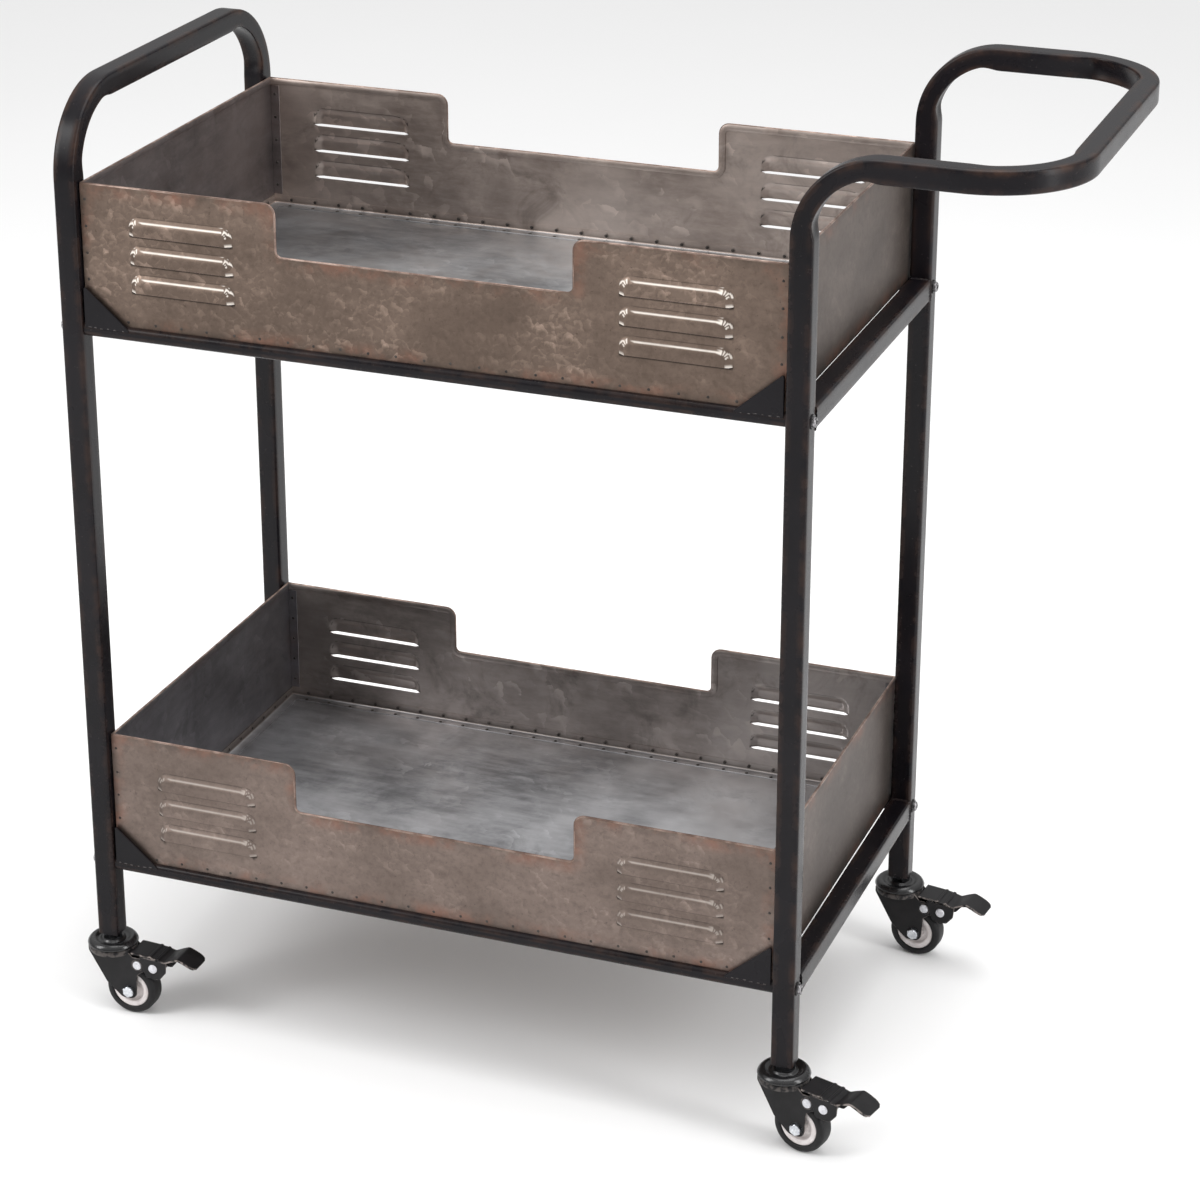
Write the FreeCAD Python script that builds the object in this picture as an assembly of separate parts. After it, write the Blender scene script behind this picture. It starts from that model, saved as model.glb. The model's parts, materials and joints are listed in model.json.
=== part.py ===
import FreeCAD, Part
import math
import os

# A two-level plant trolley: a square-tube arch at one end, a square-tube push handle at the
# other, long rails between them, two loose sheet-metal trays and four locking swivel casters.
#
# Working axes, in millimetres: X runs from the arch to the handle, Y from the front to the
# back, Z up. The drawing starts at the outer corner of the front arch leg, on the floor, and
# everything is moved at the end so that the origin is under the middle of the trolley.

Vector = FreeCAD.Vector
X_AXIS = Vector(1, 0, 0)
Y_AXIS = Vector(0, 1, 0)
Z_AXIS = Vector(0, 0, 1)

# ---- driving dimensions: frame ----
tube = 20.0                 # side of the square tube
tube_wall = 1.5
tube_corner = 2.5           # outer corner radius of the tube
frame_length = 675.0        # over the outer faces of the legs
frame_depth = 386.0
leg_bottom = 80.0
arch_top = 884.0
arch_bend = 68.0            # bend radii are to the middle of the tube
handle_top = 899.0
handle_end = 880.0          # outer face of the crossbar
handle_bend = 63.0
handle_corner_bend = 78.0
rail_depth = 14.0           # long rails, across
rail_height = 12.0
rail_corner = 4.0
level_heights = {"lower": 148.0, "upper": 668.0}    # undersides of the long rails
side_rail_drop = 5.0        # side rails reach this far below the long rails

# ---- driving dimensions: brackets and bolts ----
bracket_thickness = 2.5
bracket_gap = 2.0           # between a bracket and its leg
bracket_length = 42.0
bracket_height = 34.0       # above the top of the rail
bolt_radius = 3.0
bolt_head_radius = 4.6
bolt_head_height = 2.8
washer_radius = 6.2
washer_thickness = 1.2
insert_length = 20.0

# ---- driving dimensions: trays ----
sheet = 1.0
tray_length = 632.0
tray_depth = 372.0
tray_height = 125.0
hem_height = 6.0
lap_width = 9.0             # width of the lapped strips along the seams
lap_clearance = 1.0         # from the upright strips up to the hem
notch_width = 266.0
notch_depth = 46.0
notch_top_radius = 10.0
notch_floor_radius = 5.0
louvre_length = 98.0
louvre_height = 16.0
louvre_reach = 4.0          # how far a hood stands out from its wall
louvre_pitch = 25.5
louvre_end_inset = 45.0     # from the end of the tray to the first louvre
top_slit_heights = {"lower": 78.0, "upper": 83.5}   # above the tray's underside

# ---- driving dimensions: casters, from the floor and from the swivel axis ----
wheel_radius = 25.0
wheel_half_width = 9.0
tyre_inner_radius = 18.0
hub_face_inset = 1.2
trail = 20.0                # from the swivel axis to the axle
running_clearance = 0.06
fork_inner = 10.0
fork_plate = 1.6
fork_top = 68.0
fork_top_thickness = 2.5
fork_top_radius = 22.6
cap_radius = 23.75
cap_bottom = 69.0
cap_top = 74.5
stem_radius = 5.0
stem_top = 104.0
stem_head_radius = 9.0
nut_flats = 17.0
race_inner = 11.0
race_outer = 17.0
axle_radius = 3.0
axle_flats = 10.0
axle_head = 3.6
axle_nut_height = 5.0
rivet_radius = 2.5
rivet_head_radius = 4.4
rivet_head_height = 1.3
leaf_rivet = (30.0, 54.0)       # ties the two fork plates together
pedal_pivot = (47.0, 54.5)
pedal_half_width = 13.2
pedal_plate = 1.4
caster_turn = {"front_left": 0.0, "front_right": -13.0, "back_left": -6.0, "back_right": -6.0}

# ---- derived ----
half_tube = tube / 2
back = frame_depth
rail_setback = (tube - rail_depth) / 2
tray_x = (frame_length - tray_length) / 2
tray_y = (frame_depth - tray_depth) / 2
axle_height = wheel_radius
fork_outer = fork_inner + fork_plate
nodes = {}


# ---- shape helpers ----

def block(low, high):
    """An upright box between two opposite corners."""
    size = [b - a for a, b in zip(low, high)]
    return Part.makeBox(size[0], size[1], size[2], Vector(*low))


def rod(radius, start, direction, length):
    return Part.makeCylinder(radius, length, Vector(*start), direction)


def hexagon_rod(flats, start, direction, length):
    """A hexagonal prism with the given distance across its flats."""
    radius = flats / math.sqrt(3)
    side, up = (Y_AXIS, Z_AXIS) if abs(direction.x) > 0.5 else (X_AXIS, Z_AXIS)
    if abs(direction.z) > 0.5:
        side, up = X_AXIS, Y_AXIS
    corners = []
    for step in range(7):
        turn = math.radians(60 * step)
        corners.append(Vector(*start) + side * (radius * math.cos(turn)) + up * (radius * math.sin(turn)))
    return Part.Face(Part.makePolygon(corners)).extrude(direction * length)


def rounded_wire(corners):
    """A closed wire through corners (point, radius), each rounded by an arc of its radius."""
    edges = []
    count = len(corners)
    ends = []
    for index, (point, radius) in enumerate(corners):
        before = corners[index - 1][0]
        after = corners[(index + 1) % count][0]
        to_before = (before - point).normalize()
        to_after = (after - point).normalize()
        if radius <= 0:
            ends.append((point, None, point))
            continue
        half_turn = to_before.getAngle(to_after) / 2
        reach = radius / math.tan(half_turn)
        bisector = (to_before + to_after).normalize()
        middle = point + bisector * (radius / math.sin(half_turn) - radius)
        ends.append((point + to_before * reach, middle, point + to_after * reach))
    for index, (start, middle, end) in enumerate(ends):
        if middle is not None:
            edges.append(Part.Arc(start, middle, end).toShape())
        following = ends[(index + 1) % count][0]
        if (following - end).Length > 1e-6:
            edges.append(Part.LineSegment(end, following).toShape())
    return Part.Wire(edges)


def plate_xz(corners, y_low, y_high):
    """A flat plate in the XZ plane from corners (x, z, radius), between two Y values."""
    wire = rounded_wire([(Vector(x, y_low, z), radius) for x, z, radius in corners])
    return Part.Face(wire).extrude(Y_AXIS * (y_high - y_low))


def rectangle_bar(length, width, height, corner, start, along):
    """A straight bar with rounded corners. Width lies across, height lies along Z."""
    across = Y_AXIS if abs(along.x) > 0.5 else X_AXIS
    signs = ((-1, -1), (1, -1), (1, 1), (-1, 1))
    points = [Vector(*start) + across * (a * width / 2) + Z_AXIS * (b * height / 2) for a, b in signs]
    return Part.Face(rounded_wire([(point, corner) for point in points])).extrude(along * length)


def rectangle_tube(length, width, height, corner, start, along):
    """A straight rectangular tube of the frame's wall thickness."""
    bar = rectangle_bar(length, width, height, corner, start, along)
    wall = tube_wall
    return bar.cut(rectangle_bar(length, width - 2 * wall, height - 2 * wall, corner - wall, start, along))


def bent_path(points, radii):
    """An open wire through the points, with an arc of the given radius at each inner point."""
    edges = []
    last = points[0]
    for index, radius in enumerate(radii, start=1):
        point = points[index]
        to_before = (points[index - 1] - point).normalize()
        to_after = (points[index + 1] - point).normalize()
        half_turn = to_before.getAngle(to_after) / 2
        reach = radius / math.tan(half_turn)
        bisector = (to_before + to_after).normalize()
        middle = point + bisector * (radius / math.sin(half_turn) - radius)
        edges.append(Part.LineSegment(last, point + to_before * reach).toShape())
        edges.append(Part.Arc(point + to_before * reach, middle, point + to_after * reach).toShape())
        last = point + to_after * reach
    edges.append(Part.LineSegment(last, points[-1]).toShape())
    return Part.Wire(edges)


def bent_square_tube(points, radii):
    """A hollow square tube swept along a bent path that starts straight up."""
    path = bent_path(points, radii)

    def swept(inset):
        half = half_tube - inset
        radius = tube_corner - inset
        signs = ((-1, -1), (1, -1), (1, 1), (-1, 1))
        corners = [points[0] + Vector(a * half, b * half, 0) for a, b in signs]
        profile = rounded_wire([(corner, radius) for corner in corners])
        pipe = Part.BRepOffsetAPI.MakePipeShell(path)
        pipe.add(profile)
        pipe.build()
        pipe.makeSolid()
        return pipe.shape()

    return swept(0).cut(swept(tube_wall))


def mirrored(shape, axis, position):
    """The shape mirrored in the plane across an axis at a position."""
    return shape.mirror(axis * position, axis)


def group(shapes):
    return Part.makeCompound(shapes)


# ---- frame ----

def leg_centres():
    """Middle of each leg, by corner name."""
    left = half_tube
    right = frame_length - half_tube
    return {
        "front_left": (left, half_tube),
        "front_right": (right, half_tube),
        "back_left": (left, back - half_tube),
        "back_right": (right, back - half_tube),
    }


def bolt_heights():
    return [height + rail_height / 2 for height in level_heights.values()]


def bolt_places():
    """Each rail bolt as (x of the leg's outer face, outward sign, y, z)."""
    places = []
    for x, sign in ((0.0, -1), (frame_length, 1)):
        for y in (half_tube, back - half_tube):
            for z in bolt_heights():
                places.append((x, sign, y, z))
    return places


def drilled(leg_frame):
    """A leg frame with its rail bolt holes."""
    for x, sign, y, z in bolt_places():
        start = (x - sign * (tube + 1), y, z)
        leg_frame = leg_frame.cut(rod(bolt_radius, start, X_AXIS * sign, tube + 2))
    return leg_frame


def make_arch():
    x = half_tube
    top = arch_top - half_tube
    points = [
        Vector(x, half_tube, leg_bottom),
        Vector(x, half_tube, top),
        Vector(x, back - half_tube, top),
        Vector(x, back - half_tube, leg_bottom),
    ]
    return drilled(bent_square_tube(points, [arch_bend, arch_bend]))


def make_handle():
    x = frame_length - half_tube
    reach = handle_end - half_tube
    top = handle_top - half_tube
    points = [
        Vector(x, half_tube, leg_bottom),
        Vector(x, half_tube, top),
        Vector(reach, half_tube, top),
        Vector(reach, back - half_tube, top),
        Vector(x, back - half_tube, top),
        Vector(x, back - half_tube, leg_bottom),
    ]
    radii = [handle_bend, handle_corner_bend, handle_corner_bend, handle_bend]
    return drilled(bent_square_tube(points, radii))


def make_side_rail(x, level):
    z = level_heights[level] - side_rail_drop + half_tube
    return rectangle_tube(frame_depth - 2 * tube, tube, tube, tube_corner, (x, tube, z), Y_AXIS)


def make_long_rail(y, level):
    z = level_heights[level] + rail_height / 2
    length = frame_length - 2 * tube
    return rectangle_tube(length, rail_depth, rail_height, rail_corner, (tube, y, z), X_AXIS)


def make_brackets(level):
    """Four triangular plates that stand on the outer edges of the two long rails."""
    seam = level_heights[level] + rail_height - rail_corner
    top = level_heights[level] + rail_height + bracket_height
    inner = tube + bracket_gap
    corners = [(inner, seam, 0), (inner + bracket_length, seam, 0), (inner, top, 1.5)]
    rail_middle = (tube, half_tube, level_heights[level] + rail_height / 2)
    rail = rectangle_bar(frame_length, rail_depth, rail_height, rail_corner, rail_middle, X_AXIS)
    plate = plate_xz(corners, rail_setback, rail_setback + bracket_thickness).cut(rail)
    pair = [plate, mirrored(plate, X_AXIS, frame_length / 2)]
    return group(pair + [mirrored(each, Y_AXIS, frame_depth / 2) for each in pair])


def make_bolt(x, sign, y, z):
    outward = X_AXIS * sign
    face = x + sign * washer_thickness
    shank_length = washer_thickness + tube + insert_length - 2
    shank = rod(bolt_radius, (face, y, z), outward * -1, shank_length)
    head = rod(bolt_head_radius, (face, y, z), outward, bolt_head_height)
    rim = [edge for edge in head.Edges if abs(edge.CenterOfMass.x - face) > 0.9 * bolt_head_height
           and edge.Length > bolt_head_radius]
    head = head.makeFillet(bolt_head_height * 0.6, rim[:1])
    socket = hexagon_rod(4.0, (face + sign * bolt_head_height, y, z), outward * -1, 1.6)
    return head.fuse(shank).cut(socket)


def make_washer(x, sign, y, z):
    outward = X_AXIS * sign
    return rod(washer_radius, (x, y, z), outward, washer_thickness).cut(
        rod(bolt_radius, (x, y, z), outward, washer_thickness))


def make_rail_insert(x, sign, y, z):
    """A threaded block inside the end of a long rail."""
    near = x - sign * tube
    far = near - sign * insert_length
    half_y = rail_depth / 2 - tube_wall
    half_z = rail_height / 2 - tube_wall
    body = block((min(near, far), y - half_y, z - half_z), (max(near, far), y + half_y, z + half_z))
    upright = [edge for edge in body.Edges if abs(edge.tangentAt(edge.FirstParameter).x) > 0.9]
    body = body.makeFillet(rail_corner - tube_wall, upright)
    return body.cut(rod(bolt_radius, (near, y, z), X_AXIS * -sign, insert_length))


# ---- trays ----

def wall_outline(x_low, x_high, z_low, z_high):
    """Corners of a long wall with its hand notch."""
    middle = (x_low + x_high) / 2
    left = middle - notch_width / 2
    right = middle + notch_width / 2
    floor = z_high - notch_depth
    return [
        (x_low, z_low, 0),
        (x_high, z_low, 0),
        (x_high, z_high, 2),
        (right, z_high, notch_top_radius),
        (right, floor, notch_floor_radius),
        (left, floor, notch_floor_radius),
        (left, z_high, notch_top_radius),
        (x_low, z_high, 2),
    ]


def louvre_outline(x, slit, inset):
    """A louvre's outline: flat along the slit and round at its top corners."""
    radius = louvre_height * 0.6 - inset
    low = slit - (1.0 if inset else 0.0)
    return [
        (x + inset, low, 0),
        (x + louvre_length - inset, low, 0),
        (x + louvre_length - inset, slit + louvre_height - inset, radius),
        (x + inset, slit + louvre_height - inset, radius),
    ]


def louvre_hood(x, slit, wall_y):
    """A pressed hood on a front wall: it leans out from its top to an open slit below."""
    outer = plate_xz(louvre_outline(x, slit, 0), wall_y - louvre_reach, wall_y + sheet)
    inner = plate_xz(louvre_outline(x, slit, sheet), wall_y - louvre_reach, wall_y + sheet)
    low = slit - 2
    rise = louvre_height + 2
    slope = louvre_reach / rise

    def lean(depth):
        """The space behind the hood's leaning face, moved in by a depth."""
        points = [
            Vector(x - 1, wall_y - louvre_reach + depth, low),
            Vector(x - 1, wall_y - louvre_reach + slope * rise + depth, low + rise),
            Vector(x - 1, wall_y + sheet + 1, low + rise),
            Vector(x - 1, wall_y + sheet + 1, low),
        ]
        face = Part.Face(Part.makePolygon(points + [points[0]]))
        return face.extrude(X_AXIS * (louvre_length + 2))

    return outer.common(lean(0)).cut(inner.common(lean(sheet)))


def louvre_places(x_low, x_high, base, top_slit):
    """Left end and slit height of every louvre in one long wall."""
    starts = (x_low + louvre_end_inset, x_high - louvre_end_inset - louvre_length)
    return [(x, base + top_slit - row * louvre_pitch) for x in starts for row in range(3)]


def make_front_wall(base, top_slit):
    x_low, x_high = tray_x, tray_x + tray_length
    top = base + tray_height
    outline = wall_outline(x_low, x_high, base, top)
    wall = plate_xz(outline, tray_y, tray_y + sheet)
    for x, slit in louvre_places(x_low, x_high, base, top_slit):
        wall = wall.cut(plate_xz(louvre_outline(x, slit, 0), tray_y - 1, tray_y + sheet + 1))
        wall = wall.fuse(louvre_hood(x, slit, tray_y))
    # The hem is the top edge folded inwards: the wall's outline less the same outline
    # moved down, kept clear of the louvres.
    lowered = wall_outline(x_low - 1, x_high + 1, base - hem_height, top - hem_height)
    hem = plate_xz(outline, tray_y + sheet, tray_y + 2 * sheet)
    hem = hem.cut(plate_xz(lowered, tray_y, tray_y + 3 * sheet))
    return wall.fuse(hem).removeSplitter()


def make_end_wall(base):
    """The wall at the arch end, with a lap strip along each long wall and a folded top hem."""
    x = tray_x
    y_low, y_high = tray_y + sheet, tray_y + tray_depth - sheet
    top = base + tray_height
    wall = block((x, y_low, base), (x + sheet, y_high, top))
    lap_low = base + sheet + lap_width
    lap_high = top - hem_height - lap_clearance
    for y in (y_low, y_high - sheet):
        wall = wall.fuse(block((x + sheet, y, lap_low), (x + sheet + lap_width, y + sheet, lap_high)))
    hem = block((x + sheet, y_low + sheet, top - hem_height), (x + 2 * sheet, y_high - sheet, top))
    return wall.fuse(hem).removeSplitter()


def make_floor(base):
    """A flat sheet with its four edges turned up inside the walls."""
    low = (tray_x + sheet, tray_y + sheet, base)
    high = (tray_x + tray_length - sheet, tray_y + tray_depth - sheet, base + sheet + lap_width)
    pan = block(low, high)
    inner_low = (low[0] + sheet, low[1] + sheet, base + sheet)
    inner_high = (high[0] - sheet, high[1] - sheet, high[2] + 1)
    return pan.cut(block(inner_low, inner_high))


def make_tray(level):
    base = level_heights[level] + rail_height
    front = make_front_wall(base, top_slit_heights[level])
    end = make_end_wall(base)
    return {
        "front_wall": front,
        "back_wall": mirrored(front, Y_AXIS, frame_depth / 2),
        "left_end_wall": end,
        "right_end_wall": mirrored(end, X_AXIS, frame_length / 2),
        "floor": make_floor(base),
    }


# ---- casters: made at the swivel axis with the wheel towards +X, then placed ----

def make_stem():
    shank = rod(stem_radius, (0, 0, fork_top - fork_top_thickness), Z_AXIS, stem_top - fork_top + fork_top_thickness)
    head_height = 3.0
    head_top = fork_top - fork_top_thickness - running_clearance
    head = rod(stem_head_radius, (0, 0, head_top - head_height), Z_AXIS, head_height)
    neck = rod(stem_radius, (0, 0, head_top - 0.5), Z_AXIS, 1.0)
    return shank.fuse(neck).fuse(head)


def make_leg_plug():
    half = half_tube - tube_wall
    body = block((-half, -half, leg_bottom), (half, half, stem_top + 4))
    upright = [edge for edge in body.Edges if abs(edge.tangentAt(edge.FirstParameter).z) > 0.9]
    body = body.makeFillet(tube_corner - tube_wall, upright)
    return body.cut(rod(stem_radius, (0, 0, leg_bottom), Z_AXIS, stem_top - leg_bottom))


def make_lock_nut():
    nut = hexagon_rod(nut_flats, (0, 0, cap_top), Z_AXIS, leg_bottom - cap_top)
    return nut.cut(rod(stem_radius, (0, 0, cap_top), Z_AXIS, leg_bottom - cap_top))


def make_bearing_cap():
    """A round cover over the swivel bearing, with a domed shoulder and a hollow underside."""
    shoulder = 3.0
    points = [
        Vector(stem_radius, 0, cap_top),
        Vector(cap_radius - shoulder - 1, 0, cap_top),
    ]
    turn_centre = Vector(cap_radius - shoulder - 1, 0, cap_top - shoulder - 1)
    reach = shoulder + 1
    arc_middle = turn_centre + Vector(reach * math.sin(math.pi / 4), 0, reach * math.cos(math.pi / 4))
    arc_end = turn_centre + Vector(reach, 0, 0)
    under = cap_bottom + 1.8
    rest = [
        arc_end,
        Vector(cap_radius, 0, cap_bottom),
        Vector(cap_radius - 1.2, 0, cap_bottom),
        Vector(cap_radius - 1.2, 0, under),
        Vector(stem_radius, 0, under),
        points[0],
    ]
    edges = [Part.LineSegment(points[0], points[1]).toShape(), Part.Arc(points[1], arc_middle, arc_end).toShape()]
    edges += [Part.LineSegment(a, b).toShape() for a, b in zip(rest, rest[1:])]
    return Part.Face(Part.Wire(edges)).revolve(Vector(0, 0, 0), Z_AXIS, 360)


def make_ball_race():
    low = fork_top + running_clearance
    high = cap_bottom + 1.8
    ring = rod(race_outer, (0, 0, low), Z_AXIS, high - low)
    return ring.cut(rod(race_inner, (0, 0, low), Z_AXIS, high - low))


def fork_plate_outline():
    """Side plate corners: wide under the bearing, down to the axle, with an arm to the pedal."""
    return [
        (-19.0, fork_top - fork_top_thickness, 0),
        (-3.0, 31.0, 6.0),
        (12.5, 17.5, 7.0),
        (27.5, 17.5, 7.0),
        (29.0, 43.0, 3.0),
        (35.0, 48.0, 3.0),
        (53.8, 48.0, 6.0),
        (53.8, 61.0, 6.0),
        (24.0, 61.0, 2.0),
        (19.0, fork_top - fork_top_thickness, 0),
    ]


def make_fork():
    top_plate = rod(fork_top_radius, (0, 0, fork_top - fork_top_thickness), Z_AXIS, fork_top_thickness)
    rim = [edge for edge in top_plate.Edges if abs(edge.CenterOfMass.z - fork_top) < 0.01]
    fork = top_plate.makeFillet(1.0, rim[:1])
    for y_low in (-fork_outer, fork_inner):
        fork = fork.fuse(plate_xz(fork_plate_outline(), y_low, y_low + fork_plate))
    # A short web behind the wheel ties the plates together.
    web = [(-19.0, fork_top - fork_top_thickness), (-16.9, fork_top - fork_top_thickness),
           (-9.4, 49.0), (-11.4, 49.0)]
    wire = Part.makePolygon([Vector(x, -fork_inner, z) for x, z in web + web[:1]])
    fork = fork.fuse(Part.Face(wire).extrude(Y_AXIS * (2 * fork_inner)))
    holes = [(trail, axle_height, axle_radius), (leaf_rivet[0], leaf_rivet[1], rivet_radius),
             (pedal_pivot[0], pedal_pivot[1], rivet_radius)]
    for x, z, radius in holes:
        fork = fork.cut(rod(radius, (x, -fork_outer - 1, z), Y_AXIS, 2 * fork_outer + 2))
    bore = rod(stem_radius + running_clearance, (0, 0, fork_top - 10), Z_AXIS, 20)
    return fork.cut(bore).removeSplitter()


def make_rivet(place, seat):
    """A rivet across the fork, with a head standing on each seat face."""
    x, z = place
    pin = rod(rivet_radius, (x, -seat, z), Y_AXIS, 2 * seat)
    for sign in (-1, 1):
        head = rod(rivet_head_radius, (x, sign * seat, z), Y_AXIS * sign, rivet_head_height)
        face_y = sign * (seat + rivet_head_height)
        rim = [edge for edge in head.Edges if abs(edge.CenterOfMass.y - face_y) < 0.01]
        pin = pin.fuse(head.makeFillet(0.8, rim[:1]))
    return pin


def make_rivets():
    return group([make_rivet(leaf_rivet, fork_outer),
                  make_rivet(pedal_pivot, pedal_half_width + running_clearance)])


def make_axle_bolt():
    head = hexagon_rod(axle_flats, (trail, -fork_outer, axle_height), Y_AXIS * -1, axle_head)
    shank_length = 2 * fork_outer + axle_nut_height + 1.5
    return head.fuse(rod(axle_radius, (trail, -fork_outer, axle_height), Y_AXIS, shank_length))


def make_axle_nut():
    nut = hexagon_rod(axle_flats, (trail, fork_outer, axle_height), Y_AXIS, axle_nut_height)
    return nut.cut(rod(axle_radius, (trail, fork_outer, axle_height), Y_AXIS, axle_nut_height))


def turned_ring(profile):
    """A ring turned about the axle from a closed profile of (radius, y, corner radius)."""
    wire = rounded_wire([(Vector(trail + r, y, axle_height), corner) for r, y, corner in profile])
    return Part.Face(wire).revolve(Vector(trail, 0, axle_height), Y_AXIS, 360)


def make_tyre():
    w = wheel_half_width
    return turned_ring([
        (tyre_inner_radius, -w + hub_face_inset, 0),
        (tyre_inner_radius + 1.0, -w, 0),
        (wheel_radius, -w, 3.5),
        (wheel_radius, w, 3.5),
        (tyre_inner_radius + 1.0, w, 0),
        (tyre_inner_radius, w - hub_face_inset, 0),
    ])


def make_hub():
    """The wheel's core: a raised rim ring, a thinner web and a boss on the axle."""
    face = wheel_half_width - hub_face_inset
    web = 3.0
    boss = wheel_half_width + 0.6
    bore = axle_radius + running_clearance
    boss_radius = 7.0
    ring_inner = 12.5
    half = [(bore, boss), (boss_radius, boss), (boss_radius, web), (ring_inner, web), (ring_inner, face),
            (tyre_inner_radius, face)]
    profile = half + [(r, -y) for r, y in reversed(half)]
    return turned_ring([(r, y, 0) for r, y in profile])


def pedal_plate_solid():
    """The pedal's tread plate: a bent strip that ends in a thicker ribbed tip."""
    top = [(24.0, 67.4), (44.0, 66.4), (45.5, 65.4), (51.0, 65.2), (52.5, 64.2), (59.0, 64.0),
           (66.0, 67.2), (73.0, 69.0), (80.0, 68.6), (87.0, 66.0), (91.0, 61.5)]
    under = [(88.6, 59.6), (84.0, 62.6), (79.0, 64.6), (73.0, 65.2), (66.0, 63.6), (59.5, 61.6), (24.0, 64.4)]
    radii = [0, 1, 0.5, 0.5, 0.5, 3, 4, 3, 4, 3, 1.2, 1, 3, 3, 4, 4, 3, 0]
    corners = [(x, z, radius) for (x, z), radius in zip(top + under, radii)]
    return plate_xz(corners, -pedal_half_width, pedal_half_width)


def make_pedal():
    """The brake pedal: tread plate, two ears on the pivot and a toe that stops the tyre."""
    pedal = pedal_plate_solid()
    ear = [(33.0, 65.0, 0), (39.5, 44.0, 2.5), (53.5, 44.0, 4.0), (60.0, 52.0, 3.0), (62.5, 63.5, 0)]
    inner = pedal_half_width - pedal_plate
    for y_low in (-pedal_half_width, inner):
        pedal = pedal.fuse(plate_xz(ear, y_low, y_low + pedal_plate))
    bar = block((43.0, -inner, 44.0), (49.0, inner, 46.4))
    toe = block((43.0, -wheel_half_width, 40.0), (48.0, wheel_half_width, 45.0))
    pedal = pedal.fuse(bar).fuse(toe)
    hole = rod(rivet_radius + running_clearance, (pedal_pivot[0], -20, pedal_pivot[1]), Y_AXIS, 40)
    cap_room = rod(cap_radius + 0.8, (0, 0, 40), Z_AXIS, 40)
    return pedal.cut(hole).cut(cap_room).removeSplitter()


# ---- assembly ----

def build():
    nodes["left_arch_tube"] = make_arch()
    nodes["right_handle_tube"] = make_handle()
    for level in level_heights:
        for side, x in (("left", half_tube), ("right", frame_length - half_tube)):
            nodes[level + "_" + side + "_side_rail"] = make_side_rail(x, level)
        for side, y in (("front", half_tube), ("back", back - half_tube)):
            nodes[level + "_" + side + "_rail"] = make_long_rail(y, level)
        nodes[level + "_corner_brackets"] = make_brackets(level)
        for name, shape in make_tray(level).items():
            nodes[level + "_tray_" + name] = shape
    nodes["rail_bolts"] = group([make_bolt(*place) for place in bolt_places()])
    nodes["bolt_washers"] = group([make_washer(*place) for place in bolt_places()])
    nodes["rail_end_inserts"] = group([make_rail_insert(*place) for place in bolt_places()])

    fixed_parts = {
        "leg_end_plugs": make_leg_plug(),
        "caster_stems": make_stem(),
        "caster_lock_nuts": make_lock_nut(),
        "bearing_caps": make_bearing_cap(),
        "swivel_ball_races": make_ball_race(),
    }
    turning_parts = {
        "fork": make_fork(),
        "fork_rivets": make_rivets(),
        "axle_bolt": make_axle_bolt(),
        "axle_nut": make_axle_nut(),
        "tyre": make_tyre(),
        "wheel_hub": make_hub(),
        "brake_pedal": make_pedal(),
    }
    for name, shape in fixed_parts.items():
        nodes[name] = group([shape.translated(Vector(x, y, 0)) for x, y in leg_centres().values()])
    for corner, (x, y) in leg_centres().items():
        for name, shape in turning_parts.items():
            turned = shape.rotated(Vector(0, 0, 0), Z_AXIS, caster_turn[corner])
            nodes[corner + "_" + name] = turned.translated(Vector(x, y, 0))


def origin_shift():
    """The move that puts the origin on the floor under the middle of the whole trolley."""
    box = group(list(nodes.values())).optimalBoundingBox(False, False)
    return Vector(-(box.XMin + box.XMax) / 2, -(box.YMin + box.YMax) / 2, 0)


def export():
    shift = origin_shift()
    os.makedirs("parts", exist_ok=True)
    for name, shape in nodes.items():
        placed = shape.translated(shift)
        placed.exportStep("parts/" + name + ".step")
        if not placed.isValid():
            print("not valid:", name)
    print("shift", round(shift.x, 3), round(shift.y, 3), "nodes", len(nodes))


build()
export()
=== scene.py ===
import json
import math
import random

import bmesh
import bpy
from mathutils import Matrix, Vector, noise
from mathutils.geometry import delaunay_2d_cdt


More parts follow.
